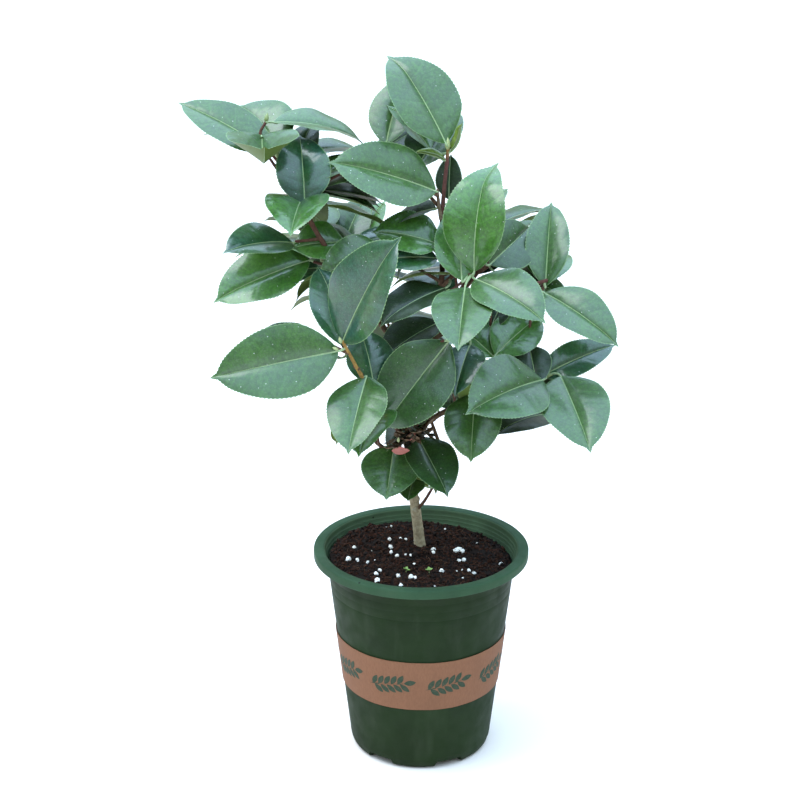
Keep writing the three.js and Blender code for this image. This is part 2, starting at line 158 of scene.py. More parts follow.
Leaf = namedtuple("Leaf", "base heading rise length width roll arch fold tone curl", defaults=(0.03,))
SHOWN = {
    "upper_left": [
        Leaf((-112, -4, 485), 161, 24, 80, 42, -24, 0.05, 0.20, "mid", 0.0),
        Leaf((-103, -2, 489), 128, 22, 62, 50, -22, 0.03, 0.25, "mid"),
        Leaf((-118, -2, 497), -84, 2, 60, 52, 0, -0.24, 1.05, "mid", -0.04),
    ],
    "middle_left": [
        Leaf((-109, 3, 506), 18, -15, 72, 40, 12, 0.07, 0.30, "mid"),
        Leaf((10, -4, 456), 190, 18, 84, 50, -50, 0.05, 0.25, "mid"),
    ],
    "left": [
        Leaf((-86, -24, 449), 98, 54, 59, 40, 0, 0.10, 0.30, "blue_painted_sheen", 0.06),
        Leaf((-88, -10, 453), -95, -9, 68, 46, 0, 0.05, 0.50, "fresh"),
        Leaf((-58, -4, 417), -166, -2, 40, 36, -38, 0.06, 0.30, "fresh"),
        Leaf((-96, -12, 419), -146, 2, 59, 41, -20, 0.06, 0.30, "blue_painted_sheen"),
        Leaf((-84, -14, 406), -163, -19, 78, 46, -38, 0.05, 0.30, "fresh"),
        Leaf((-26, -24, 414), 186, -18, 54, 40, -45, 0.08, 0.30, "mid"),
    ],
    "front_left": [
        Leaf((-58, -72, 361), -23, 62, 94, 56, 66, 0.04, 0.38, "blue_painted_sheen"),
        Leaf((-56, -68, 356), 118, 49, 67, 44, 6, 0.05, 0.25, "blue_painted_sheen"),
        Leaf((-61, -72, 354), -167, -8, 95, 53, -64, 0.04, 0.25, "mid"),
        Leaf((-36, -52, 320), 118, 60, 46, 42, 6, 0.05, 0.25, "blue_painted_sheen"),
        Leaf((-41, -62, 331), -103, -34, 69, 44, 4, 0.03, 0.25, "mid"),
    ],
    "lower_left": [
        Leaf((-29, -50, 301), -112, -22, 52, 44, 10, 0.08, 0.40, "fresh"),
    ],
    "low": [
        Leaf((-21, -10, 258), -102, -48, 45, 45, -4, 0.0, 0.20, "mid"),
        Leaf((-3, -6, 263), -64, -30, 60, 40, 4, 0.02, 0.30, "dark"),
        Leaf((-6, 0, 226), -100, -16, 28, 22, 0, 0.05, 0.25, "mid"),
        Leaf((8, -2, 287), -152, -36, 50, 38, 0, 0.04, 0.30, "deep"),
    ],
    "centre": [
        Leaf((19, -44, 352), -171, -53, 83, 54, -62, 0.06, 0.30, "dark"),
    ],
    "middle": [
        Leaf((14, -8, 416), 176, 11, 53, 44, -30, 0.06, 0.30, "fresh"),
        Leaf((31, -38, 392), -96, -23, 69, 44, 0, 0.03, 0.25, "mid"),
        Leaf((20, 12, 446), 77, 80, 34, 20, 0, 0.05, 0.30, "deep"),
        Leaf((10, 0, 442), 150, -24, 45, 30, -20, 0.05, 0.30, "deep"),
        Leaf((17, -15, 385), -150, -20, 60, 40, -10, 0.06, 0.30, "deep"),
        Leaf((14, -10, 357), -150, -24, 60, 40, -10, 0.06, 0.30, "deep"),
    ],
    "top": [
        Leaf((17, 0, 491), 141, 50, 82, 55, -20, 0.05, 0.25, "mid", 0.10),
        Leaf((-27, 20, 486), 68, 50, 60, 36, 0, 0.05, 0.25, "mid"),
        Leaf((6, 15, 483), 146, 38, 50, 32, 0, 0.05, 0.30, "fresh"),
        Leaf((20, 2, 484), -30, 72, 24, 11, 40, -0.16, 0.90, "young", 0.10),
        Leaf((17, 2, 478), 175, 14, 24, 10, -8, 0.06, 0.90, "young"),
    ],
    "upper_right": [
        Leaf((38, -30, 402), 66, 70, 84, 48, 0, 0.12, 0.35, "fresh", 0.24),
        Leaf((29, -26, 394), 98, 55, 58, 38, 0, 0.05, 0.25, "fresh"),
        Leaf((51, 0, 399), 47, 24, 52, 40, 48, 0.05, 0.30, "dark"),
    ],
    "right": [
        Leaf((39, -30, 396), -46, -14, 72, 45, 22, 0.06, 0.30, "mid"),
        Leaf((93, 0, 382), 82, 50, 72, 33, 0, 0.05, 0.50, "mid"),
        Leaf((92, -4, 378), -36, -24, 72, 40, 28, 0.06, 0.30, "mid"),
    ],
    "lower_right": [
        Leaf((90, -20, 317), 18, 18, 64, 28, 42, 0.06, 0.30, "blue_painted_sheen"),
        Leaf((104, -28, 320), -75, -27, 77, 52, 8, 0.03, 0.25, "mid"),
        Leaf((90, -34, 319), -141, -7, 76, 56, -36, 0.08, 0.30, "mid"),
        Leaf((40, -26, 306), -97, -54, 54, 43, 0, 0.04, 0.25, "mid"),
        Leaf((54, -18, 332), 146, 28, 52, 40, -20, 0.05, 0.25, "fresh"),
        Leaf((55, -20, 334), 42, 24, 53, 38, 28, 0.05, 0.25, "fresh"),
        Leaf((36, -20, 342), -107, -32, 50, 34, 0, 0.06, 0.30, "blue_painted_sheen"),
        Leaf((52, 0, 348), 52, 43, 40, 28, 0, 0.05, 0.30, "deep"),
        Leaf((81, -5, 337), -82, -36, 40, 28, 0, 0.06, 0.30, "deep"),
    ],
}

# ---- Leaves that the growth adds to each mass ----

GROWN = {
    "top": 3, "upper_left": 3, "middle_left": 12, "left": 10, "front_left": 2, "lower_left": 8,
    "centre": 12, "middle": 15, "upper_right": 6, "right": 8, "lower_right": 8, "low": 4,
    "back_left": 20, "back_right": 18, "back_low": 17,
}
# Masses at the crown's edge, where a grown leaf stays mostly behind those that the front shows.
OUTER = ("top", "upper_left", "left", "front_left", "lower_left", "upper_right", "right", "lower_right",
         "low")
OUTER_SHELTER = 0.85       # the share of such a leaf that the shown ones hide
GROWTH_TRIES = 520
SOURCE_ROOM = 20           # wood this near a mass's box may grow twigs into it
SHORTEST_TWIG = 10
BUD_ROOM = 10              # kept free of blades at the tip of a twig
TWIG_STEP = 1.6            # length of twig to each ring of points
TWIG_LENGTHS = (26, 62)
TWIG_FOOT = 1.5            # radius of a grown twig at its foot
TWIG_TIP = 0.95
DIVERGENCE = 144           # degrees from each leaf to the next round its twig
LEAF_TRIES = 6             # tries at each node of a twig
LEAF_LENGTHS = (50, 80)
RISES = (-58, 44)          # the steepest fall and rise of a grown leaf
LEAF_ROOM = 12             # how far out of its mass a grown leaf may reach
SCREEN_CELL = 3            # cells of the screen that finds openings in the crown
GAP_SPAN_X = (-104, 92)    # the part of that screen where openings are closed
GAP_SPAN_Z = (272, 500)
GAP_RIM = 9                # an opening is closed only if the crown goes on this far round it
GAP_TRIES = 14
GAP_DEPTHS = (4, 60)       # how far behind the screen a leaf may close an opening
GAP_LENGTHS = (46, 66)
GAP_ROOM = 30              # room, shelter and reach to the nearest wood of such a leaf
GAP_SHELTER = 0.5
GAP_REACH = 60
GAP_TWIG_FOOT = 1.3
LONG_PETIOLE = 12          # a leaf further from the wood gets a twig, which ends one petiole short of it
PETIOLE = 6
GAP_MIDDLE_X = 30          # a leaf behind an opening joins the middle left of this X, and the lower
GAP_LOWER_Z = 360          # right below this Z

TEETH = 34                 # teeth along each margin
TOOTH_HEIGHT = 0.55
BLADE_THICKNESS = 0.4
VEIN_ROWS = 9              # rows of points from one side vein to the next
COARSE_ROWS = 9            # the grid of points that finds what a blade meets
COARSE_COLUMNS = 5
FAR = 1e6                  # mm, past everything
# The blue tone is dark green with a blue cast that is painted sky reflection.
TONES = ("deep", "dark", "blue_painted_sheen", "mid", "fresh", "young")


# ---- Meshes ----

class Pile:
    """Points and faces of one piece, gathered in millimetres."""

    def __init__(self):
        self.points = []
        self.places = []
        self.corners = []
        self.sizes = []
        self.slots = []
        self.count = 0

    def add(self, points, faces, uv=None):
        """faces is a list of (array of equal polygons, material slot or slots)."""
        points = np.asarray(points, float).reshape(-1, 3)
        uv = np.zeros((len(points), 2)) if uv is None else np.asarray(uv, float).reshape(-1, 2)
        self.points.append(points)
        self.places.append(uv)
        for polygons, slot in faces:
            polygons = np.atleast_2d(polygons) + self.count
            self.corners.append(polygons.ravel())
            self.sizes.append(np.full(len(polygons), polygons.shape[1]))
            self.slots.append(np.broadcast_to(slot, len(polygons)))
        self.count += len(points)

    def build(self, name, materials, crease=50):
        points = np.concatenate(self.points) * MM
        corners = np.concatenate(self.corners).astype(np.int32)
        sizes = np.concatenate(self.sizes)
        mesh = bpy.data.meshes.new(name)
        mesh.vertices.add(len(points))
        mesh.vertices.foreach_set("co", points.astype(np.float32).ravel())
        mesh.loops.add(len(corners))
        mesh.loops.foreach_set("vertex_index", corners)
        mesh.polygons.add(len(sizes))
        mesh.polygons.foreach_set("loop_start", (np.cumsum(sizes) - sizes).astype(np.int32))
        mesh.polygons.foreach_set("material_index", np.concatenate(self.slots).astype(np.int32))
        mesh.polygons.foreach_set("use_smooth", np.ones(len(sizes), bool))
        layer = mesh.uv_layers.new(name="Place")
        layer.uv.foreach_set("vector", np.concatenate(self.places)[corners].astype(np.float32).ravel())
        mesh.update(calc_edges=True)
        mesh.validate()
        mesh.set_sharp_from_angle(angle=math.radians(crease))
        for material in materials:
            mesh.materials.append(material)
        return put(name, mesh)


def put(name, data):
    """A new object of the scene."""
    item = bpy.data.objects.new(name, data)
    bpy.context.scene.collection.objects.link(item)
    return item


def grid(rows, columns, closed=False, start=0):
    """Quads between the rows of a grid of points. closed joins the last column to the first."""
    across = columns if closed else columns - 1
    i, j = np.meshgrid(np.arange(rows - 1), np.arange(across), indexing="ij")
    a = i * columns + j
    b = i * columns + (j + 1) % columns
    return np.stack([a, b, b + columns, a + columns], -1).reshape(-1, 4) + start


def unit(v):
    return v / np.linalg.norm(v, axis=-1, keepdims=True)


def spline(route, step):
    """Points about every step mm along the centripetal Catmull-Rom curve through the route."""
    route = np.asarray(route, float)
    route = np.vstack([2 * route[0] - route[1], route, 2 * route[-1] - route[-2]])
    fine = []
    for p0, p1, p2, p3 in zip(route, route[1:], route[2:], route[3:]):
        t1 = np.linalg.norm(p1 - p0) ** 0.5
        t2 = t1 + np.linalg.norm(p2 - p1) ** 0.5
        t3 = t2 + np.linalg.norm(p3 - p2) ** 0.5
        t = np.linspace(t1, t2, 24, endpoint=False)[:, None]
        a1 = (t1 - t) / t1 * p0 + t / t1 * p1
        a2 = ((t2 - t) * p1 + (t - t1) * p2) / (t2 - t1)
        a3 = ((t3 - t) * p2 + (t - t2) * p3) / (t3 - t2)
        b1 = ((t2 - t) * a1 + t * a2) / t2
        b2 = ((t3 - t) * a2 + (t - t1) * a3) / (t3 - t1)
        fine.append(((t2 - t) * b1 + (t - t1) * b2) / (t2 - t1))
    fine = np.vstack([*fine, route[-2]])
    run = np.concatenate([[0], np.cumsum(np.linalg.norm(np.diff(fine, axis=0), axis=1))])
    count = max(3, round(run[-1] / step) + 1)
    at = np.linspace(0, run[-1], count)
    return np.stack([np.interp(at, run, fine[:, k]) for k in range(3)], -1)


def frames(path):
    """Tangents, and two directions across the path that turn with it as little as they can."""
    tangents = unit(np.gradient(path, axis=0))
    start = np.cross(tangents[0], (0.3, 1, 0.2))
    across = [start / np.linalg.norm(start)]
    for tangent in tangents[1:]:
        side = across[-1] - tangent * (across[-1] @ tangent)
        across.append(side / np.linalg.norm(side))
    across = np.array(across)
    return tangents, across, np.cross(tangents, across)


def tube(pile, path, radii, sides, slot, ages=(0, 1), relief=None, end=0.6):
    """A closed tube along the path. relief adds to its radius, and end rounds its tip."""
    path = np.asarray(path, float)
    tangents, across, over = frames(path)
    radii = np.broadcast_to(radii, len(path)).astype(float)
    angle = np.arange(sides) * TURN / sides
    reach = radii[:, None] + (0 if relief is None else relief)
    around = np.cos(angle)[None, :, None] * across[:, None] + np.sin(angle)[None, :, None] * over[:, None]
    rings = path[:, None] + reach[..., None] * around
    cap = path[-1] + tangents[-1] * radii[-1] * end
    shrunk = path[-1] + tangents[-1] * radii[-1] * end * 0.7 + (rings[-1] - path[-1]) * 0.6
    points = np.concatenate([rings.reshape(-1, 3), shrunk, [cap]])
    rows = len(path) + 1
    along = np.linspace(*ages, rows)
    u = np.tile(np.arange(sides) / sides, rows)
    uv = np.concatenate([np.stack([u, np.repeat(along, sides)], -1), [[0.5, ages[1]]]])
    last = (rows - 1) * sides + np.arange(sides)
    fan = np.stack([last, np.roll(last, -1), np.full(sides, rows * sides)], -1)
    foot = np.arange(sides)[::-1]
    pile.add(points, [(grid(rows, sides, True), slot), (fan, slot), (foot, slot)], uv)


def lathe(pile, profile, angles, slot, shape=None):
    """A solid turned about Z from a closed profile of [radius, z] pairs. shape may move its points."""
    profile = np.asarray(profile, float)
    radius, z = profile[:, 0][:, None], profile[:, 1][:, None]
    angles = np.asarray(angles)[None, :]
    points = np.stack([radius * np.cos(angles), radius * np.sin(angles), z + 0 * angles], -1)
    if shape is not None:
        points = shape(points)
    rows = len(profile)
    quads = grid(rows, angles.shape[1], True)
    last = grid(2, angles.shape[1], True)
    wrap = (rows - 1) * angles.shape[1]
    last = np.where(last >= angles.shape[1], last - angles.shape[1], last + wrap)
    run = np.concatenate([[0], np.cumsum(np.hypot(*np.diff(profile, axis=0).T))])
    uv = np.stack(np.broadcast_arrays(angles / TURN, run[:, None]), -1)
    pile.add(points, [(quads[:, ::-1], slot), (last[:, ::-1], slot)], uv)


def ripples(rng, theta, along, waves, lengths):
    """A sum of waves round and along a limb, between about -1 and 1."""
    total = 0
    for _ in range(8):
        turns = rng.integers(*waves)
        length = rng.uniform(*lengths)
        total = total + np.sin(turns * theta + TURN * along / length + rng.uniform(0, TURN))
    return total / 4


# ---- Materials ----

def new_material(name, colour, roughness, specular=0.5):
    material = bpy.data.materials.new(name)
    material.use_nodes = True
    shader = material.node_tree.nodes["Principled BSDF"]
    shader.inputs["Base Color"].default_value = (*colour, 1)
    shader.inputs["Roughness"].default_value = roughness
    shader.inputs["Specular IOR Level"].default_value = specular
    return material, material.node_tree, shader


def add_node(tree, kind, **values):
    """A node whose inputs, or else its settings, take the given values."""
    node = tree.nodes.new(kind)
    for key, value in values.items():
        if key in node.inputs:
            node.inputs[key].default_value = value
        else:
            setattr(node, key, value)
    return node


def noise(tree, scale, detail=4, stretch=(1, 1, 1)):
    """Noise in metres of the piece, stretched along its axes."""
    place = add_node(tree, "ShaderNodeTexCoord")
    mapping = add_node(tree, "ShaderNodeMapping", Scale=stretch)
    texture = add_node(tree, "ShaderNodeTexNoise", Scale=scale, Detail=detail)
    tree.links.new(place.outputs["Object"], mapping.inputs["Vector"])
    tree.links.new(mapping.outputs["Vector"], texture.inputs["Vector"])
    return texture.outputs["Fac"]


def dots(tree, scale, size):
    """1 inside sparse round dots, 0 outside."""
    place = add_node(tree, "ShaderNodeTexCoord")
    texture = add_node(tree, "ShaderNodeTexVoronoi", Scale=scale)
    tree.links.new(place.outputs["Object"], texture.inputs["Vector"])
    return ramp(tree, texture.outputs["Distance"], [(size * 0.7, 1), (size, 0)])


def ramp(tree, source, stops):
    """A grey or colour for each stop of the source."""
    node = add_node(tree, "ShaderNodeValToRGB")
    elements = node.color_ramp.elements
    while len(elements) < len(stops):
        elements.new(0.5)
    for element, (place, value) in zip(elements, stops):
        element.position = place
        element.color = (*value, 1) if isinstance(value, tuple) else (value, value, value, 1)
    tree.links.new(source, node.inputs["Fac"])
    return node.outputs["Color"]


def mix(tree, share, low, high, how="MIX"):
    """Low where share is 0 and high where it is 1. Each is a colour or a socket."""
    node = add_node(tree, "ShaderNodeMix", data_type="RGBA", blend_type=how)
    for socket, value in ((node.inputs[0], share), (node.inputs[6], low), (node.inputs[7], high)):
        if isinstance(value, bpy.types.NodeSocket):
            tree.links.new(value, socket)
        elif isinstance(value, tuple):
            socket.default_value = (*value, 1)
        else:
            socket.default_value = value
    return node.outputs[2]


def maths(tree, operation, source, number):
    """The source put together with a number by one operation of a Math node."""
    node = add_node(tree, "ShaderNodeMath", operation=operation)
    node.inputs[1].default_value = number
    tree.links.new(source, node.inputs[0])
    return node.outputs[0]


def place_axes(tree):
    """A piece's own coordinates: U across and V along it."""
    place = add_node(tree, "ShaderNodeUVMap", uv_map="Place")
    split = add_node(tree, "ShaderNodeSeparateXYZ")
    tree.links.new(place.outputs["UV"], split.inputs["Vector"])
    return split.outputs["X"], split.outputs["Y"]


def paint(tree, shader, colour, heights=()):
    """Gives the shader its colour, and bumps of (socket, depth in metres), each on the one before."""
    tree.links.new(colour, shader.inputs["Base Color"])
    for height, depth in heights:
        bump = add_node(tree, "ShaderNodeBump", Strength=1, Distance=depth)
        tree.links.new(height, bump.inputs["Height"])
        if shader.inputs["Normal"].is_linked:
            tree.links.new(shader.inputs["Normal"].links[0].from_socket, bump.inputs["Normal"])
        tree.links.new(bump.outputs["Normal"], shader.inputs["Normal"])


def grained(name, colour, low, high, grain, relief=None, roughness=0.45, specular=0.5):
    """Noise of (scale, detail) between two colours, with relief of (scale, detail, depth in metres)."""
    material, tree, shader = new_material(name, colour, roughness, specular)
    heights = [(noise(tree, *relief[:2]), relief[2])] if relief else []
    paint(tree, shader, mix(tree, noise(tree, *grain), low, high), heights)
    return material


def shade(colour, share):
    return tuple(c * share for c in colour)


def pot_plastic(name, green):
    material, tree, shader = new_material(name, green, 0.6, 0.14)
    blotch = ramp(tree, noise(tree, 28, 5), [(0.35, 0), (0.7, 1)])
    colour = mix(tree, blotch, shade(green, 0.82), shade(green, 1.15))
    dust = ramp(tree, noise(tree, 60, 8, (1, 1, 0.25)), [(0.55, 0), (0.8, 0.12)])
    colour = mix(tree, dust, colour, (0.10, 0.12, 0.08))
    specks = dots(tree, 48, 0.05)
    colour = mix(tree, specks, colour, (0.008, 0.010, 0.006))
    rough = ramp(tree, noise(tree, 90, 6), [(0.3, 0.52), (0.7, 0.7)])
    tree.links.new(rough, shader.inputs["Roughness"])
    paint(tree, shader, colour, [(noise(tree, 700, 2), 0.00006), (noise(tree, 60, 3), 0.0002)])
    return material


def band_paper():
    kraft = (0.203, 0.089, 0.046)
    material, tree, shader = new_material("kraft_paper", kraft, 0.8, 0.3)
    fibres = noise(tree, 900, 3, (1, 1, 0.3))
    thick = ramp(tree, fibres, [(0.35, 0), (0.65, 1)])
    colour = mix(tree, thick, shade(kraft, 0.93), shade(kraft, 1.05))
    stains = ramp(tree, noise(tree, 25, 4), [(0.5, 0), (0.75, 0.4)])
    colour = mix(tree, stains, colour, shade(kraft, 0.7))
    paint(tree, shader, colour, [(fibres, 0.00008), (noise(tree, 40, 2), 0.0006)])
    return material


def band_ink():
    material, tree, shader = new_material("green_ink", (0.05, 0.09, 0.05), 0.7, 0.3)
    worn = ramp(tree, noise(tree, 500, 4), [(0.4, 0), (0.7, 0.5)])
    paint(tree, shader, mix(tree, worn, (0.022, 0.042, 0.022), (0.07, 0.065, 0.04)))
    return material


def soil_material(name, colour):
    low, high = shade(colour, 0.4), shade(colour, 1.5)
    return grained(name, colour, low, high, (900, 5), (900, 5, 0.0004), 0.95, 0.2)


def granule_white():
    white = (1.0, 0.96, 0.91)
    low = shade(white, 0.93)
    return grained("granule_white", white, low, white, (1500, 4), (1500, 4, 0.0003), 0.9, 0.3)


def bark_material():
    """Grey-beige old bark that turns brown and then reddish and yellow-green with the wood's age in V."""
    material, tree, shader = new_material("bark", (0.3, 0.27, 0.2), 0.85, 0.3)
    _, age = place_axes(tree)
    ages = ramp(tree, age, [
        (0, (0.52, 0.43, 0.28)), (0.2, (0.40, 0.33, 0.22)), (0.42, (0.15, 0.095, 0.055)),
        (0.72, (0.12, 0.058, 0.035)), (0.96, (0.12, 0.042, 0.036)), (1, (0.38, 0.22, 0.06)),
    ])
    grain = ramp(tree, noise(tree, 420, 6), [(0.3, 0), (0.7, 1)])
    dark = mix(tree, 1.0, ages, (0.5, 0.48, 0.45), "MULTIPLY")
    colour = mix(tree, grain, dark, ages)
    lichen = ramp(tree, noise(tree, 160, 5), [(0.58, 0), (0.68, 0.5)])
    old = ramp(tree, age, [(0.15, 1), (0.4, 0)])
    lichen = mix(tree, 1.0, lichen, old, "MULTIPLY")
    colour = mix(tree, lichen, colour, (0.50, 0.52, 0.42))
    paint(tree, shader, colour, [(noise(tree, 900, 5), 0.00025)])
    return material


def along_veins(tree, u, v):
    """Noise over a blade's own U and V, drawn out along its side veins."""
    place = add_node(tree, "ShaderNodeTexCoord")
    depth = add_node(tree, "ShaderNodeSeparateXYZ")
    tree.links.new(place.outputs["Object"], depth.inputs["Vector"])
    joined = add_node(tree, "ShaderNodeCombineXYZ")
    for name, source, scale in (("X", u, 3), ("Y", v, 60), ("Z", depth.outputs["Z"], 9)):
        tree.links.new(maths(tree, "MULTIPLY", source, scale), joined.inputs[name])
    texture = add_node(tree, "ShaderNodeTexNoise", Scale=1, Detail=3)
    tree.links.new(joined.outputs["Vector"], texture.inputs["Vector"])
    return texture.outputs["Fac"]


def leaf_top(tone, colour, roughness, wax, coat=0.85):
    """A waxy upper face: side veins lie across V. coat is the wax's weight, and wax its roughness."""
    material, tree, shader = new_material("leaf_" + tone, colour, roughness, 0.45)
    shader.inputs["Specular Tint"].default_value = (0.86, 0.95, 1.0, 1)
    shader.inputs["Coat Weight"].default_value = coat
    shader.inputs["Coat Roughness"].default_value = wax
    u, v = place_axes(tree)
    # Large patches between a darker shade of the tone and a lighter, shifted one: partly tone that differs
    # at random, partly painted sheen.
    blotch = ramp(tree, noise(tree, 45, 4), [(0.3, 0), (0.7, 1)])
    painted_sheen_tone = (colour[0] * 1.35, colour[1] * 1.1, colour[1] * 0.13)
    surface = mix(tree, blotch, shade(colour, 0.75), painted_sheen_tone)
    wave = maths(tree, "PINGPONG", maths(tree, "MULTIPLY", v, 2 * TEETH / VEIN_ROWS), 0.5)
    veins = ramp(tree, wave, [(0.0, 0.16), (0.07, 0)])
    surface = mix(tree, veins, surface, shade(colour, 2.2))
    mottle = ramp(tree, noise(tree, 400, 6), [(0.36, 0), (0.62, 1)])
    mottle = mix(tree, mottle, (0.58, 0.62, 0.56), (1, 1, 1))
    surface = mix(tree, 1.0, surface, mottle, "MULTIPLY")
    dust = ramp(tree, noise(tree, 1000, 2), [(0.52, 0), (0.68, 0.06)])
    surface = mix(tree, dust, surface, (0.38, 0.41, 0.37))
    specks = dots(tree, 190, 0.065)
    surface = mix(tree, specks, surface, (0.6, 0.62, 0.58))
    dull = ramp(tree, noise(tree, 90, 5), [(0.35, roughness - 0.07), (0.7, roughness + 0.12)])
    tree.links.new(dull, shader.inputs["Roughness"])
    paint(tree, shader, surface, [(along_veins(tree, u, v), 0.00012), (noise(tree, 1300, 2), 0.00007),
                                  (noise(tree, 140, 3), 0.0004)])
    return material


def leaf_under():
    olive = (0.085, 0.125, 0.022)
    low, high = shade(olive, 0.8), shade(olive, 1.2)
    return grained("leaf_under", olive, low, high, (120, 4), (700, 3, 0.0001), 0.55, 0.35)


def leaf_line(name, colour):
    """The pale midrib, petiole or margin of a leaf."""
    return grained(name, colour, shade(colour, 0.8), shade(colour, 1.2), (200, 3))


def bud_material(name, low, high):
    return grained(name, low, low, high, (350, 3), (900, 3, 0.0001))


def leaf_materials():
    """Slots of every leaf piece: the tones of TONES, then underside, margin and midrib."""
    return [
        leaf_top("deep", (0.010, 0.038, 0.004), 0.52, 0.24, 0.35),
        leaf_top("dark", (0.018, 0.074, 0.005), 0.46, 0.20, 0.60),
        # Blue tone: dark green whose blue cast is painted sky reflection.
        leaf_top("blue_painted_sheen", (0.014, 0.078, 0.046), 0.38, 0.15),
        leaf_top("mid", (0.032, 0.112, 0.010), 0.46, 0.22),
        leaf_top("fresh", (0.042, 0.155, 0.006), 0.40, 0.16),
        leaf_top("young", (0.15, 0.25, 0.02), 0.45, 0.28),
        leaf_under(),
        leaf_line("leaf_margin", (0.13, 0.22, 0.09)),
        leaf_line("leaf_midrib", (0.27, 0.37, 0.19)),
    ]


UNDER, MARGIN, MIDRIB = (len(TONES) + k for k in range(3))


# ---- Pot ----

def wall_radius(z):
    return WALL_FOOT + (WALL_TOP - WALL_FOOT) * (z - WALL_FOOT_Z) / (WALL_TOP_Z - WALL_FOOT_Z)


def pot_profile():
    """The section of the pot, from the middle of its underside out, up, over the rim and down inside."""
    grooves = []
    for z, depth in ((137, 0.35), (144.5, 0.14), (151, 0.18)):
        for dz, share in ((-1.2, 0), (-0.5, 0.6), (0, 1), (0.4, 0.6), (0.9, 0)):
            grooves.append([wall_radius(z + dz) - depth * share, z + dz])
    wall = [[wall_radius(z), z] for z in np.linspace(WALL_FOOT_Z + 8, 132, 14)]
    skirt = POT_HEIGHT - RIM_DROP
    under = POT_HEIGHT - SKIN
    inside = []
    ledges = 4
    for i in range(ledges):
        z = POT_HEIGHT - 2.5 - 3.1 * i
        r = RIM_BORE - 0.8 * i
        inside += [[r, z], [r - 0.08, z - 2.3], [r - 0.3, z - 2.6], [r - 0.75, z - 2.9]]
    return [
        [0.01, 0], [BOSS_RADIUS - 0.6, 0], [BOSS_RADIUS, 0.6], [BOSS_RADIUS, FLOOR_Z - 0.4],
        [BOSS_RADIUS + 0.5, FLOOR_Z], [28, FLOOR_Z], [FOOT_BORE - 0.5, FLOOR_Z], [FOOT_BORE, FLOOR_Z - 0.5],
        [FOOT_BORE + 0.1, 0.6], [FOOT_BORE + 0.7, 0.05], [46, 0], [50.5, 0], [52, 0.35], [53.2, 0.9],
        [54.4, 1.9], [55.2, 3.2], [55.9, 5], [56.4, 7], [56.8, 9.5], [WALL_FOOT, WALL_FOOT_Z],
        *wall, *grooves,
        [WALL_TOP + 0.1, 157.6], [WALL_TOP + 0.6, 158.6], [WALL_TOP + 1.1, 159], [WALL_TOP + 1.2, 161.6],
        [WALL_TOP + 1.6, 162.3], [WALL_TOP + 2.2, 162.6], [WALL_TOP + 2.4, 166.6], [RIM_BORE + 1.6, under],
        [RIM_RADIUS - SKIN - 0.5, under], [RIM_RADIUS - SKIN, under - 0.6],
        [RIM_RADIUS - SKIN, skirt + 0.3], [RIM_RADIUS - 1.1, skirt], [RIM_RADIUS - 0.4, skirt],
        [RIM_RADIUS - 0.1, skirt + 0.3], [RIM_RADIUS, skirt + 0.9], [RIM_RADIUS, POT_HEIGHT - 1.5],
        [RIM_RADIUS - 0.2, POT_HEIGHT - 0.8], [RIM_RADIUS - 0.6, POT_HEIGHT - 0.3],
        [RIM_RADIUS - 1.2, POT_HEIGHT], [RIM_RADIUS - 4.5, POT_HEIGHT], [RIM_BORE + 1.8, POT_HEIGHT - 0.1],
        [RIM_BORE + 0.7, POT_HEIGHT - 0.5], [RIM_BORE + 0.15, POT_HEIGHT - 1.3], *inside,
        [wall_radius(130) - SKIN, 130], [WALL_FOOT - SKIN, WALL_FOOT_Z],
        [WALL_FOOT - SKIN - 3, FLOOR_TOP + 0.8], [WALL_FOOT - SKIN - 5, FLOOR_TOP],
        [28, FLOOR_TOP], [0.01, FLOOR_TOP],
    ]


def slot_headings():
    return [math.radians(FOOT_TURN + 360 / FOOT_COUNT * (i + 0.5)) for i in range(FOOT_COUNT)]


def pot_shape(points):
    """Raises the ring of feet at its slots, and lets the thin wall wander a little from round."""
    x, y, z = np.moveaxis(points, -1, 0)
    radius, angle = np.hypot(x, y), np.arctan2(y, x)
    rise = np.interp(radius, [50.5, 53.2], [FLOOR_Z - 0.15, SLOT_TOP])
    lift = np.zeros_like(z)
    for heading in slot_headings():
        off = np.abs((angle - heading + math.pi) % TURN - math.pi) * FOOT_MIDDLE
        share = np.clip((SLOT_WIDTH / 2 + 1.2 - off) / 2.4, 0, 1)
        lift = np.maximum(lift, share * share * (3 - 2 * share))
    ring = (radius > FOOT_BORE - 0.2) & (z < rise) & (radius < 56.6) & ((radius < 51) | (z < 8))
    z = np.where(ring, np.maximum(z, lift * rise), z)
    wander = 1 + 0.0022 * np.sin(3 * angle + 0.6) * np.clip(z / POT_HEIGHT, 0, 1)
    return np.stack([x * wander, y * wander, z], -1)


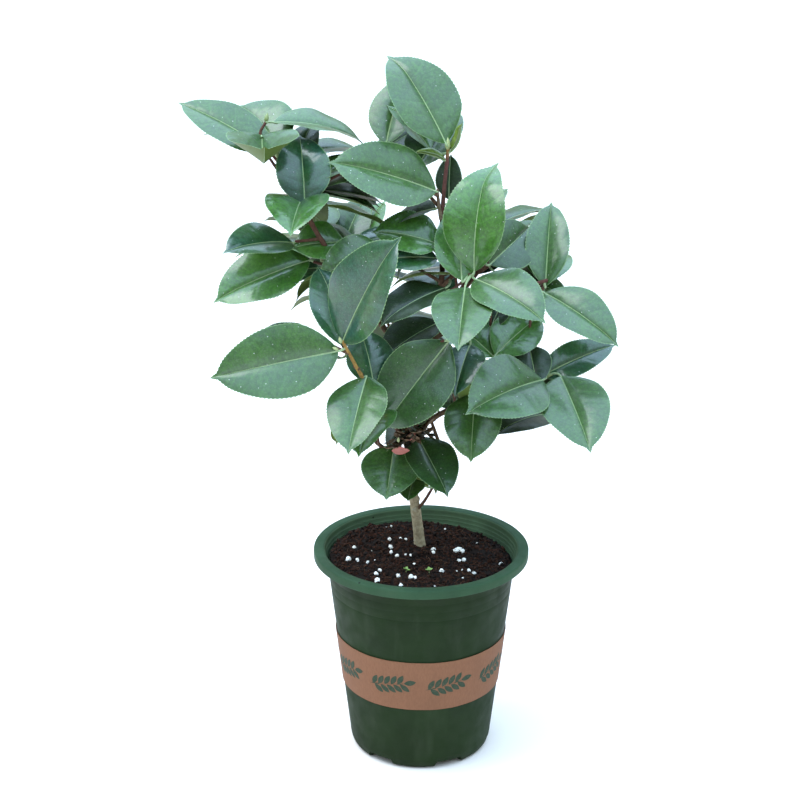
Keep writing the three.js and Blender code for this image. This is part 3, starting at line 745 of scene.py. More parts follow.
def make_pot():
    pile = Pile()
    edges = []
    for heading in slot_headings():
        for side in (-1, 1):
            for k in (-1.3, -0.6, 0, 0.6, 1.3):
                edges.append(heading + side * (SLOT_WIDTH / 2 + k) / FOOT_MIDDLE)
    angles = np.sort(np.concatenate([np.arange(216) * TURN / 216, np.array(edges) % TURN]))
    angles = angles[np.concatenate([[True], np.diff(angles) > 0.003])]
    profile = pot_profile()
    lathe(pile, profile, angles, 0, pot_shape)
    heights = np.array(profile)[:, 1]
    radii = np.array(profile)[:, 0]
    # Rim faces take a lighter copy of the plastic: painted light on the rim.
    rim = (heights[:-1] >= POT_HEIGHT - RIM_DROP) & (radii[:-1] > RIM_BORE + 1)
    # The inner ledges take a much lighter copy of the plastic: painted light on the inner wall.
    inside = (heights[:-1] > 130) & (np.arange(len(profile) - 1) > radii.argmax()) & ~rim
    pile.slots[0] = np.repeat(rim + 2 * inside, len(angles))
    tones = [
        pot_plastic("pot_plastic", (0.010, 0.023, 0.0055)),
        # Lighter copy of the plastic for the rim faces: painted light.
        pot_plastic("rim_plastic_painted_light", (0.029, 0.068, 0.033)),
        # Much lighter copy of the plastic for the inner ledges: painted light.
        pot_plastic("inner_plastic_painted_light", (0.075, 0.13, 0.07)),
    ]
    pot = pile.build("pot_shell", tones, 38)
    drill_drains(pot)
    return pot


def drill_drains(pot):
    drills = []
    for heading in slot_headings():
        bpy.ops.mesh.primitive_cylinder_add(
            vertices=32, radius=DRAIN_RADIUS * MM, depth=0.02,
            location=(DRAIN_CIRCLE * MM * math.cos(heading), DRAIN_CIRCLE * MM * math.sin(heading), 0.005))
        drills.append(bpy.context.object)
    for drill in drills:
        cut = pot.modifiers.new("drain", "BOOLEAN")
        cut.object = drill
        cut.operation = "DIFFERENCE"
        cut.solver = "EXACT"
    bpy.context.view_layer.objects.active = pot
    for cut in list(pot.modifiers):
        bpy.ops.object.modifier_apply(modifier=cut.name)
    for drill in drills:
        bpy.data.objects.remove(drill)


# ---- Band: kraft paper with a row of plain sprigs printed on it ----

def make_band():
    pile = Pile()
    angles = np.arange(240) * TURN / 240
    profile = [[wall_radius(z) + BAND_GAP, z] for z in np.linspace(BAND_HIGH, BAND_LOW, 12)]
    outside = BAND_GAP + BAND_THICKNESS
    profile += [[wall_radius(z) + outside, z] for z in np.linspace(BAND_LOW, BAND_HIGH, 24)]

    def wavy(points):
        x, y, z = np.moveaxis(points, -1, 0)
        angle = np.arctan2(y, x)
        edge = np.abs(z - (BAND_LOW + BAND_HIGH) / 2) / ((BAND_HIGH - BAND_LOW) / 2)
        lift = 0.12 * np.sin(7 * angle + 1) * edge ** 6 + 0.05 * np.sin(23 * angle) * edge ** 6
        proud = 1 + 0.0012 * (np.sin(5 * angle) + 1) * edge ** 4
        return np.stack([x * proud, y * proud, z + lift], -1)

    lathe(pile, profile, angles, 0, wavy)
    return pile.build("paper_band", [band_paper()], 40)


def oval(length, width, count=14):
    """An oval pointed at both ends, from the origin along +X."""
    u = np.linspace(0, 1, count)
    half = width / 2 * np.sin(math.pi * u) ** 0.8
    return np.concatenate([np.stack([u * length, -half], -1), np.stack([u * length, half], -1)[-2:0:-1]])


def make_print():
    """Plain sprigs round the band, as flat ink a little proud of the paper."""
    pile = Pile()
    proud = BAND_GAP + BAND_THICKNESS + INK_THICKNESS
    middle = (BAND_LOW + BAND_HIGH) / 2

    def lay(outline, heading):
        """Wraps a flat outline (across, up) onto the band at a heading."""
        z = middle + outline[:, 1]
        radius = wall_radius(z) + proud
        angle = heading + outline[:, 0] / wall_radius(middle)
        face = np.stack([radius * np.cos(angle), radius * np.sin(angle), z], -1)
        inward = face * [0.9985, 0.9985, 1]
        count = len(outline)
        ring = np.arange(count)
        sides = np.stack([ring, ring + count, np.roll(ring, -1) + count, np.roll(ring, -1)], -1)
        pile.add(np.concatenate([face, inward]), [(ring, 0), (ring[::-1] + count, 0), (sides, 0)])

    def turned(outline, degrees, at):
        a = math.radians(degrees)
        spin = np.array([[math.cos(a), math.sin(a)], [-math.sin(a), math.cos(a)]])
        return outline @ spin + at

    sprigs = 9
    for i in range(sprigs):
        heading = i * TURN / sprigs + 0.1
        lay(turned(oval(30, 1.3), 10, (-15, -3)), heading)
        for step in range(5):
            foot = (-12.5 + 5.4 * step, -2.6 + 0.95 * step)
            lay(turned(oval(9.5, 4.2), 62, foot), heading)
            lay(turned(oval(9.5, 4.2), -40, (foot[0] + 1.8, foot[1])), heading)
        lay(turned(oval(9.5, 4.6), 12, (14, 2.2)), heading)
    return pile.build("band_sprigs", [band_ink()], 40)


# ---- Soil ----

def soil_level(x, y):
    radius = np.hypot(x, y)
    swell = 0.9 * np.sin(x / 11 + 1) * np.cos(y / 9) + 0.5 * np.sin(x / 4.3 + y / 5.1)
    edge = -1.6 * np.clip((radius - SOIL_RADIUS + 6) / 6, 0, 1) ** 2
    return SOIL_TOP + SOIL_TILT * x + swell + edge


def make_soil(rng):
    pile = Pile()
    sides, rings = 200, 70
    angle = np.arange(sides) * TURN / sides
    radius = SOIL_RADIUS * np.linspace(0.02, 1, rings)[:, None]
    x, y = radius * np.cos(angle), radius * np.sin(angle)
    rough = rng.normal(0, 0.45, (rings, sides))
    top = np.stack([x, y, soil_level(x, y) + rough], -1)
    side = [[wall_radius(z) - SKIN - 0.4, z] for z in (150, 120, 80, 40, 14)]
    side += [[WALL_FOOT - SKIN - 5.5, FLOOR_TOP + 0.4], [1, FLOOR_TOP + 0.4]]
    wall = [np.stack([r * np.cos(angle), r * np.sin(angle), np.full(sides, z)], -1) for r, z in side]
    points = np.concatenate([top.reshape(-1, 3), *wall])
    rows = rings + len(side)
    first = np.arange(sides)
    last = first[::-1] + (rows - 1) * sides
    pile.add(points, [(grid(rows, sides, True)[:, ::-1], 0), (first, 0), (last, 0)])
    return pile.build("soil_bed", [soil_material("peat", (0.009, 0.004, 0.0024))], 60)


def scatter(rng, count, reach):
    """Random places on the soil within a radius."""
    radius = reach * np.sqrt(rng.random(count))
    angle = rng.random(count) * TURN
    x, y = radius * np.cos(angle), radius * np.sin(angle)
    return np.stack([x, y, soil_level(x, y)], -1)


def icosphere(level):
    """Corners and triangles of a ball of radius 1."""
    g = (1 + 5 ** 0.5) / 2
    points = [(-1, g, 0), (1, g, 0), (-1, -g, 0), (1, -g, 0), (0, -1, g), (0, 1, g), (0, -1, -g),
              (0, 1, -g), (g, 0, -1), (g, 0, 1), (-g, 0, -1), (-g, 0, 1)]
    faces = [(0, 11, 5), (0, 5, 1), (0, 1, 7), (0, 7, 10), (0, 10, 11), (1, 5, 9), (5, 11, 4),
             (11, 10, 2), (10, 7, 6), (7, 1, 8), (3, 9, 4), (3, 4, 2), (3, 2, 6), (3, 6, 8), (3, 8, 9),
             (4, 9, 5), (2, 4, 11), (6, 2, 10), (8, 6, 7), (9, 8, 1)]
    points = [unit(np.array(p, float)) for p in points]
    for _ in range(level):
        middles, finer = {}, []
        for a, b, c in faces:
            ids = []
            for p, q in ((a, b), (b, c), (c, a)):
                key = (min(p, q), max(p, q))
                if key not in middles:
                    middles[key] = len(points)
                    points.append(unit(points[p] + points[q]))
                ids.append(middles[key])
            ab, bc, ca = ids
            finer += [(a, ab, ca), (b, bc, ab), (c, ca, bc), (ab, bc, ca)]
        faces = finer
    return np.array(points), np.array(faces)


def spin(rng):
    """A random turn."""
    return np.array(Quaternion(unit(rng.normal(size=4))).to_matrix())


def make_crumbs(rng):
    """Crumbs of peat and bark, and short fibres among them."""
    pile = Pile()
    ball, faces = icosphere(0)
    for place in scatter(rng, 3000, SOIL_RADIUS - 1.5):
        size = rng.uniform(0.5, 1.5) * (1.7 if rng.random() < 0.12 else 1)
        lumps = ball * rng.uniform(0.6, 1.25, (len(ball), 1)) * size * rng.uniform(0.5, 1.3, 3)
        pile.add(lumps @ spin(rng) + place + [0, 0, size * 0.3], [(faces, rng.integers(3))])
    for place in scatter(rng, 520, SOIL_RADIUS - 4):
        heading, length = rng.uniform(0, TURN), rng.uniform(3, 9)
        way = np.array([math.cos(heading), math.sin(heading), rng.uniform(-0.15, 0.3)])
        bend = rng.normal(0, 0.8, 3) + [0, 0, 1]
        path = [place + way * length * (t - 0.5) + bend * 4 * t * (1 - t) * 0.6 for t in (0, 0.35, 0.7, 1)]
        tube(pile, path, rng.uniform(0.16, 0.4), 4, rng.integers(3, 5))
    tones = [("crumb_dark", (0.010, 0.005, 0.0035)), ("crumb_brown", (0.024, 0.009, 0.005)),
             ("crumb_red", (0.036, 0.012, 0.006)), ("fibre_brown", (0.075, 0.034, 0.018)),
             ("fibre_red", (0.060, 0.020, 0.011))]
    return pile.build("soil_crumbs", [soil_material(name, colour) for name, colour in tones], 60)


# White granules that stand out, as (x, y, radius); the others are strewn by chance.
GRANULES = [
    (30, 14, 2.6), (33, 11, 2.2), (28, 10, 2.4), (32, 16, 1.7), (-25, 26, 2.0), (-24, 12, 2.1),
    (-24, 2, 2.2), (-53, 6, 1.8), (-57, -16, 2.4), (-50, -15, 1.8), (-42, -19, 1.7), (-32, -34, 2.2),
    (-35, -41, 2.4), (-34, -52, 2.5), (-16, -57, 2.0), (-12, 28, 1.6), (10, 12, 1.9), (10, 4, 1.7),
    (16, -26, 2.0), (-18, -42, 2.0), (-8, -44, 2.3), (-5, -45, 2.0), (30, -6, 1.9), (34, -5, 1.9),
    (37, -27, 1.9), (41, -31, 1.7), (63, -10, 1.9), (-19, -4, 1.8), (-12, -1, 1.6), (-8, -1, 1.5),
]


def make_granules(rng):
    pile = Pile()
    ball, faces = icosphere(2)
    places = [(x, y, r) for x, y, r in GRANULES]
    for x, y, _ in scatter(rng, 16, SOIL_RADIUS - 8):
        places.append((x, y, rng.uniform(0.6, 1.3)))
    for x, y, radius in places:
        lumps = 1 + 0.16 * np.sin(ball @ rng.normal(0, 3, 3) + 1)
        lumps = lumps + 0.10 * np.sin(ball @ rng.normal(0, 6, 3))
        points = ball * lumps[:, None] * radius * rng.uniform(0.65, 0.95, 3)
        at = [x, y, float(soil_level(x, y)) + radius * 0.55]
        pile.add(points @ spin(rng) + at, [(faces, 0)])
    return pile.build("soil_granules", [granule_white()], 60)


def make_seedlings(rng):
    """Two seedlings in the soil, each a short stem and a few small leaves."""
    pile = Pile()
    for x, y in ((-12, -33), (6, -31)):
        foot = np.array([x, y, float(soil_level(x, y))])
        tube(pile, [foot, foot + (0.2, -0.2, 1.2), foot + (0.2, -0.5, 2.2)], 0.35, 6, 1)
        for k in range(4):
            heading, rise = 90 * k + rng.uniform(-25, 25), rng.uniform(15, 50)
            top = foot + (0.2, -0.5, 2.1)
            small_leaf(pile, Leaf(top, heading, rise, rng.uniform(3, 4.2), 2.6, 0, 0.08, 0.3, "fresh"), 0)
    return pile.build("soil_seedlings", [
        bud_material("seedling_leaf", (0.16, 0.30, 0.05), (0.28, 0.42, 0.12)),
        bud_material("seedling_stem", (0.30, 0.36, 0.14), (0.36, 0.42, 0.2))])


# ---- Wood ----

def make_limb(rng, name, limb):
    """A limb with ridged bark, low knots along it, and the trunk's flare at the soil."""
    pile = Pile()
    path = spline(limb.route, BARK_STEP)
    sides = TRUNK_SIDES if name == "trunk" else BARK_SIDES
    run = np.linspace(0, 1, len(path))
    length = BARK_STEP * (len(path) - 1)
    along = (run * length)[:, None]
    theta = np.arange(sides)[None, :] * TURN / sides
    radii = limb.foot + (limb.tip - limb.foot) * run
    if name == "trunk":
        above = np.maximum(0, path[:, 2] - SOIL_TOP)
        radii = radii * (1 + FLARE * np.exp(-above / FLARE_HEIGHT))
    depth = radii[:, None] * np.linspace(0.055, 0.03, len(path))[:, None]
    relief = depth * ripples(rng, theta, along, (4, 15), (14, 60))
    relief = relief + 0.4 * depth * ripples(rng, theta, along, (2, 9), (2.5, 7))
    for node in np.arange(9, length - 6, NODE_GAP):
        at = node + rng.uniform(-3, 3)
        turn = rng.uniform(0, TURN)
        off = np.abs((theta - turn + math.pi) % TURN - math.pi)
        ring = np.exp(-((along - at) / 1.6) ** 2)
        relief = relief + ring * radii[:, None] * (0.05 + 0.26 * np.exp(-(off / 0.55) ** 2))
    tube(pile, path, radii, sides, 0, limb.age, relief)
    settle(pile.build("bark_" + name, [BARK], 60), "bark", name)
    return path


def add_twig(pile, rng, route, foot, tip, ages=(0.5, 0.95)):
    """A twig with faint ridges. Returns the points along it."""
    path = spline(route, TWIG_STEP)
    sides = 10
    run = np.linspace(0, 1, len(path))
    along = run[:, None] * TWIG_STEP * len(path)
    theta = np.arange(sides)[None, :] * TURN / sides
    radii = foot + (tip - foot) * run
    relief = radii[:, None] * 0.07 * ripples(rng, theta, along, (2, 5), (4, 14))
    tube(pile, path, radii, sides, 0, ages, relief)
    return path


# ---- Leaves ----

def half_width(u):
    """The share of its widest half that a blade has at u, from 0 at the base to 1 at the tip."""
    v = np.clip(u / 0.94, 0, 1) ** 0.80
    body = v ** 0.82 * (1 - v) ** 0.72 / 0.3446
    foot = 1 - 0.25 * np.clip((0.25 - u) / 0.25, 0, 1) ** 1.5
    tip = 1.5 * (1 - u) * np.clip((u - 0.62) / 0.26, 0, 1) ** 2
    return np.hypot(body * foot, tip)


def direction(heading, rise):
    """The unit vector at a heading from +X towards +Y and a rise from level, in degrees."""
    h, r = math.radians(heading), math.radians(rise)
    return np.array([math.cos(h) * math.cos(r), math.sin(h) * math.cos(r), math.sin(r)])


def blade_axes(leaf):
    """Unit vectors along the blade, across it to its left, and out of its upper face."""
    heading, roll = math.radians(leaf.heading), math.radians(leaf.roll)
    along = direction(leaf.heading, leaf.rise)
    level = np.array([-math.sin(heading), math.cos(heading), 0])
    up = np.cross(along, level)
    left = level * math.cos(roll) + up * math.sin(roll)
    out = up * math.cos(roll) - level * math.sin(roll)
    return along, left, out


def blade_surface(leaf, u, t, waves=0.0, phase=0.0):
    """Points of the upper face: u runs from base to tip, t from the right margin, -1, to the left, 1."""
    along, left, out = blade_axes(leaf)
    half = leaf.width / 2 * half_width(u)
    reach = np.abs(t) * half
    x = leaf.length * u
    z = leaf.arch * leaf.length * 4 * u * (1 - u)
    z = z - leaf.curl * leaf.length * np.clip((u - 0.7) / 0.3, 0, 1) ** 2
    z = z + reach * leaf.fold * (1.4 - 0.7 * np.abs(t))
    z = z + waves * t * t * np.sin(TURN * 2.3 * u + phase + 1.3 * np.sign(t)) * half / 22
    y = t * half
    return (np.array(leaf.base, float) + x[..., None] * along + y[..., None] * left + z[..., None] * out)


def slant(u, t):
    """Rows run forward to the margin as the side veins do."""
    return u + 0.15 * np.abs(t) ** 1.2 * 4 * u * (1 - u)


def small_leaf(pile, leaf, slot):
    """A simple closed blade for bracts, bud scales and seedlings."""
    u = np.linspace(0.0, 1, 9)[:, None]
    t = np.array([-1, -0.5, 0, 0.5, 1])[None, :]
    top = blade_surface(leaf, *np.broadcast_arrays(u * 0.98 + 0.01, t))
    _, _, out = blade_axes(leaf)
    low = top - out * 0.08 * leaf.length * (1 - t[..., None] ** 2) * 0.6 - out * 0.02
    rows, columns = top.shape[:2]
    count = rows * columns
    edge = np.concatenate([np.arange(rows) * columns, (rows - 1) * columns + np.arange(1, columns),
                           np.arange(rows - 2, -1, -1) * columns + columns - 1,
                           np.arange(columns - 2, 0, -1)])
    rim = np.stack([edge, edge + count, np.roll(edge, -1) + count, np.roll(edge, -1)], -1)
    faces = grid(rows, columns)
    pile.add(np.concatenate([top.reshape(-1, 3), low.reshape(-1, 3)]),
             [(faces, slot), (faces[:, ::-1] + count, slot), (rim[:, ::-1], slot)])


def blade_columns(u0, half):
    """Places across the upper and the under face, as shares of the half width at each row."""
    rib = np.minimum(0.46 * (1.2 - u0) / half, 0.2)
    rim = np.maximum(1 - 0.34 / half, 0.8)
    right = np.concatenate([rib, *(rib + (rim - rib) * k for k in (0.28, 0.52, 0.77)), rim, rim * 0 + 1], 1)
    upper = np.concatenate([-right[:, ::-1], rib * 0, right], 1)
    under = np.concatenate([-right[:, [4, 0]], rib * 0, right[:, [0, 4]]], 1)
    return upper, under


def vein_depth(t, half):
    """How far the upper face sinks along its side veins and its midrib."""
    index = np.arange(len(t))
    vein = np.exp(-(((index + VEIN_ROWS / 2) % VEIN_ROWS - VEIN_ROWS / 2) / 1.1) ** 2)[:, None]
    crown = np.cos(TURN * index / VEIN_ROWS)[:, None]
    share = np.abs(t)
    sink = (0.09 * vein + 0.02 * crown) * np.clip(share / 0.25, 0, 1) * np.clip((1 - share) / 0.2, 0, 1)
    sink = sink + 0.30 * (share < 0.001)
    return sink * np.clip(half / 12, 0, 1)


def blade_faces(rows, columns, under, tone):
    """Faces and slots of a blade whose rows of upper points come before those of its under face."""
    count = rows * columns
    sheet = np.concatenate([[0], count + np.arange(under), [columns - 1]])
    step = np.concatenate([[columns], np.full(under, under), [columns]])
    i = np.arange(rows - 1)[:, None]
    a, b = sheet[None, :-1] + i * step[None, :-1], sheet[None, 1:] + i * step[None, 1:]
    below = np.stack([a, a + step[None, :-1], b + step[None, 1:], b], -1).reshape(-1, 4)
    slots = np.full(columns - 1, TONES.index(tone))
    slots[[0, -1]] = MARGIN
    slots[[columns // 2 - 1, columns // 2]] = MIDRIB
    under_slots = np.full(under + 1, UNDER)
    under_slots[[under // 2, under // 2 + 1]] = MIDRIB
    first = np.concatenate([np.arange(columns), count + np.arange(under)[::-1]])
    last = np.concatenate([np.arange(columns)[::-1] + (rows - 1) * columns,
                           count + np.arange(under) + (rows - 1) * under])
    return [(grid(rows, columns)[:, ::-1], np.tile(slots, rows - 1)),
            (below[:, ::-1], np.tile(under_slots, rows - 1)), (first, MIDRIB), (last, MARGIN)]


def add_leaf(pile, rng, leaf):
    """One blade as a closed mesh: toothed margin, sunken side veins, and a keel under the midrib."""
    rows = 2 * TEETH + 1
    index = np.arange(rows)
    run = (index / (rows - 1))[:, None]
    u0 = 0.004 + 0.992 * run
    half = np.maximum(leaf.width / 2 * half_width(u0), 0.35)
    t, low_t = blade_columns(u0, half)
    phase, waves = rng.uniform(0, TURN), rng.uniform(0.2, 1.0)
    along, left, out = blade_axes(leaf)
    top = blade_surface(leaf, np.clip(slant(u0, t), 0, 0.999), t, waves, phase)
    top = top - out * vein_depth(t, half)[..., None]
    tooth = np.where(index % 2 == 1, TOOTH_HEIGHT, -0.05) * np.clip(half[:, 0] / 6, 0, 1)
    for column, side in ((0, -1), (-1, 1)):
        top[:, column] += tooth[:, None] * (side * left + 0.6 * along)
    low = blade_surface(leaf, np.clip(slant(u0, low_t), 0, 0.999), low_t, waves, phase)
    keel = np.array([0, 0.25, 1, 0.25, 0]) * 0.9 * (1.15 - u0)
    low = low - out * (BLADE_THICKNESS * np.array([0.5, 1, 1, 1, 0.5]) + keel)[..., None]
    points = np.concatenate([top.reshape(-1, 3), low.reshape(-1, 3)])
    uv = [np.stack(np.broadcast_arrays(0.5 + across / 2, run), -1).reshape(-1, 2) for across in (t, low_t)]
    pile.add(points, blade_faces(rows, t.shape[1], low_t.shape[1], leaf.tone), np.concatenate(uv))


def add_petiole(pile, leaf, wood):
    """A short stalk from the nearest wood into the blade's base."""
    along, _, out = blade_axes(leaf)
    base = np.array(leaf.base, float)
    foot = wood.nearest(base)
    gap = np.linalg.norm(base - foot)
    bend = base - along * min(gap * 0.6, 6)
    t = np.linspace(0, 1, max(5, round(gap / 1.5)))[:, None]
    curve = (1 - t) ** 2 * foot + 2 * t * (1 - t) * bend + t * t * base
    path = np.vstack([curve - out * 0.2 * t, base + along * 2.5 - out * 0.35])
    tube(pile, path, np.linspace(1.05, 0.7, len(path)), 8, MIDRIB, (0, 0.2))


class Wood:
    """Points along every limb and twig, which leaves and twigs grow from."""

    def __init__(self):
        self.points = np.zeros((0, 3))

    def add(self, path):
        self.points = np.vstack([self.points, path])

    def nearest(self, place):
        gaps = np.linalg.norm(self.points - place, axis=1)
        return self.points[gaps.argmin()]


# ---- Growth ----

def blade_points(leaf):
    """A coarse grid of points over the blade, for finding what it meets."""
    u, t = np.linspace(0.02, 0.98, COARSE_ROWS), np.linspace(-1, 1, COARSE_COLUMNS)
    return blade_surface(leaf, *np.meshgrid(u, t, indexing="ij")).reshape(-1, 3)


def search_tree(points, faces):
    """A tree of polygons, for finding what a ray, a point or another tree meets."""
    return BVHTree.FromPolygons([Vector(p) for p in points], [[int(i) for i in f] for f in faces])


def blade_tree(leaf):
    return search_tree(blade_points(leaf), grid(COARSE_ROWS, COARSE_COLUMNS))


def meets(leaf, others):
    """Whether the blade would pass through any of the other blades' trees."""
    tree = blade_tree(leaf) if others else None
    return any(tree.overlap(other) for other in others)


def hits(tree, start, way, reach=FAR):
    """Whether a ray meets the tree within reach mm."""
    return tree.ray_cast(Vector(start), Vector(way), reach)[0] is not None


class Crown:
    """What has grown so far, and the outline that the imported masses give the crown."""

    def __init__(self, eye):
        self.eye = np.array(eye, float)
        self.blades = []
        self.screened = set()
        self.shown = None
        points, faces = [], []
        for name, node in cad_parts.items():
            if name.startswith("foliage_"):
                faces += [[i + len(points) for i in face.vertices] for face in node.data.polygons]
                points += list(np.array([corner.co for corner in node.data.vertices]) / MM)
        self.outline = search_tree(points, faces)

    def inside(self, point, room):
        """Whether a point is in a mass, or within room mm of one."""
        place, normal, _, gap = self.outline.find_nearest(Vector(point))
        return gap < room or (Vector(point) - place).dot(normal) < 0

    def covered(self, point):
        """Whether the front view meets a mass of foliage on the way to the point or past it."""
        return hits(self.outline, self.eye, unit(np.asarray(point) - self.eye))

    def shelter(self, points):
        """The share of the points that the front view finds behind leaves it shows."""
        ways = np.asarray(points) - self.eye
        reaches = np.linalg.norm(ways, axis=1)
        return sum(hits(self.shown, self.eye, w / r, float(r)) for w, r in zip(ways, reaches)) / len(ways)

    def near(self, points):
        """Trees of the blades whose boxes lie within 1 mm of the box of the points."""
        low, high = points.min(0) - 1, points.max(0) + 1
        return [tree for least, most, tree in self.blades if (low <= most).all() and (high >= least).all()]

    def pierces(self, path):
        """Whether a path of points passes through any blade."""
        steps = np.diff(path, axis=0)
        reaches = np.linalg.norm(steps, axis=1)
        return any(hits(tree, start, step / reach, float(reach)) for tree in self.near(path)
                   for start, step, reach in zip(path, steps, reaches))

    def hides(self, point):
        """Whether a point stands before a leaf that the front shows."""
        return hits(self.shown, point, unit(np.asarray(point) - self.eye))

    def cells(self, points):
        """The cells of a coarse screen at Y 0 that the front view sees the points through."""
        points = np.atleast_2d(points)
        share = self.eye[1] / (self.eye[1] - points[:, 1])
        seen = self.eye + (points - self.eye) * share[:, None]
        return [tuple(c) for c in np.floor(seen[:, [0, 2]] / SCREEN_CELL).astype(int)]

    def place(self, leaf):
        u, t = np.meshgrid(np.linspace(0.03, 0.97, 40), np.linspace(-0.95, 0.95, 25), indexing="ij")
        self.screened.update(self.cells(blade_surface(leaf, u, t).reshape(-1, 3)))
        points = blade_points(leaf)
        self.blades.append((points.min(0), points.max(0), blade_tree(leaf)))

    def fits(self, leaf, room, sheltered):
        """Whether a blade has room, keeps the photo's gaps open and lets the shown leaves be seen."""
        points = blade_points(leaf)
        if sheltered and self.shelter(points[::3]) < sheltered:
            return False
        if any(self.hides(p) for p in points[::2]):
            return False
        if not all(self.inside(p, room) for p in points[::4]):
            return False
        if not all(self.covered(p) for p in points):
            return False
        return not meets(leaf, self.near(points))

    def end_of_shown(self):
        """Takes all the leaves that the front shows as what it shows."""
        blades = [blade_points(leaf) for leaves in SHOWN.values() for leaf in leaves]
        faces = [grid(COARSE_ROWS, COARSE_COLUMNS, start=i * len(blade)) for i, blade in enumerate(blades)]
        self.shown = search_tree(np.concatenate(blades), np.concatenate(faces))


def grow_mass(rng, name, crown, wood, wood_pile, pile, tips):
    """Grows twigs from the limbs near a mass, and leaves two turns in five round each twig."""
    low, high = (np.array(v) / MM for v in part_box("foliage_" + name))
    centre, half = (low + high) / 2, (high - low) / 2
    wanted, grown = GROWN[name], 0
    near = ((wood.points > low - SOURCE_ROOM) & (wood.points < high + SOURCE_ROOM)).all(1)
    sources = wood.points[near]
    for attempt in range(GROWTH_TRIES):
        if grown >= wanted:
            break
        start = sources[rng.integers(len(sources))]
        goal = centre + half * rng.uniform(-0.8, 0.8, 3)
        length = min(np.linalg.norm(goal - start), rng.uniform(*TWIG_LENGTHS))
        if length < SHORTEST_TWIG:
            continue
        way = unit(goal - start)
        bow = np.array([0, 0, rng.uniform(1, 6)]) + rng.normal(0, 1.2, 3)
        route = [start, start + way * length * 0.5 - bow * 0.5, start + way * length + bow * 0.4]
        path = spline(route, 3)
        bud_end = path[-1] + unit(path[-1] - path[-2]) * BUD_ROOM
        if any(crown.hides(p) for p in path[2:]) or crown.pierces(np.vstack([path, bud_end])):
            continue
        if crown.shelter([path[-1], bud_end]) < 1:
            continue
        leaves = twig_leaves(rng, path, crown, wanted - grown, OUTER_SHELTER if name in OUTER else 0)
        early = attempt < GROWTH_TRIES / 2 and wanted - grown > 1
        if len(leaves) < (2 if early else 1):
            continue
        for leaf in leaves:
            crown.place(leaf)
        shaped = add_twig(wood_pile, rng, route, TWIG_FOOT, TWIG_TIP)
        wood.add(shaped)
        tips.append((shaped[-1], unit(shaped[-1] - shaped[-3])))
        for leaf in leaves:
            add_leaf(pile, rng, leaf)
            add_petiole(pile, leaf, wood)
        grown += len(leaves)


def twig_leaf(rng, place, along, across, over, turn):
    """A leaf at a place on a twig, about a turn round it in degrees."""
    angle = math.radians(turn + rng.normal(0, 16))
    spread = math.radians(rng.uniform(36, 78))
    side = math.cos(angle) * across + math.sin(angle) * over
    way = math.cos(spread) * along + math.sin(spread) * side
    way = unit(way + np.array([0, 0, rng.uniform(-0.3, 0.15)]))
    heading = math.degrees(math.atan2(way[1], way[0]))
    rise = float(np.clip(math.degrees(math.asin(way[2])), *RISES))
    size = rng.uniform(*LEAF_LENGTHS)
    tone = str(rng.choice(["deep", "dark", "blue_painted_sheen", "mid", "fresh"]))
    base = place + direction(heading, rise) * rng.uniform(4, 8)
    return Leaf(tuple(base), heading, rise, size, size * rng.uniform(0.54, 0.64), rng.normal(0, 16),
                rng.uniform(0.03, 0.09), rng.uniform(0.2, 0.36), tone, rng.uniform(0.02, 0.08))


def twig_leaves(rng, path, crown, most, sheltered):
    """Up to most leaves that find room round one twig, from its tip down."""
    tangents, across, over = frames(path)
    turn = rng.uniform(0, 360)
    leaves = []
    for step in np.linspace(len(path) - 1, max(1, len(path) * 0.3), 6):
        at = int(step)
        turn += DIVERGENCE
        if len(leaves) >= most:
            break
        for _ in range(LEAF_TRIES):
            leaf = twig_leaf(rng, path[at], tangents[at], across[at], over[at], turn)
            if crown.fits(leaf, LEAF_ROOM, sheltered) and not meets(leaf, [blade_tree(x) for x in leaves]):
                leaves.append(leaf)
                break
    return leaves


def gap_leaf(rng, eye, hole):
    """A dark leaf at a chance depth behind an opening."""
    depth = rng.uniform(*GAP_DEPTHS)
    aim = eye + (hole - eye) * (1 + depth / -eye[1])
    heading, rise = rng.uniform(-170, -10), rng.uniform(-46, 10)
    size = rng.uniform(*GAP_LENGTHS)
    base = aim - direction(heading, rise) * size * rng.uniform(0.35, 0.6)
    return Leaf(tuple(base), heading, rise, size, size * 0.62, rng.normal(0, 14), 0.05, 0.25,
                str(rng.choice(["deep", "dark", "blue_painted_sheen"])), 0.05)


def close_gap(rng, crown, hole, wood, wood_pile, pile):
    """Grows the first leaf that fits behind an opening, on a short twig where the wood is far."""
    for _ in range(GAP_TRIES):
        leaf = gap_leaf(rng, crown.eye, hole)
        base = np.array(leaf.base)
        foot = wood.nearest(base)
        gap = np.linalg.norm(base - foot)
        if gap > GAP_REACH or not crown.fits(leaf, GAP_ROOM, GAP_SHELTER):
            continue
        if gap > LONG_PETIOLE:
            end = foot + (base - foot) * (1 - PETIOLE / gap)
            path = spline([foot, (foot + end) / 2 - (0, 0, gap * 0.08), end], 3)
            if any(crown.hides(p) for p in path[1:]) or crown.pierces(path[1:]):
                continue
            wood.add(add_twig(wood_pile, rng, path[::2], GAP_TWIG_FOOT, TWIG_TIP))
        crown.place(leaf)
        add_leaf(pile, rng, leaf)
        add_petiole(pile, leaf, wood)
        return


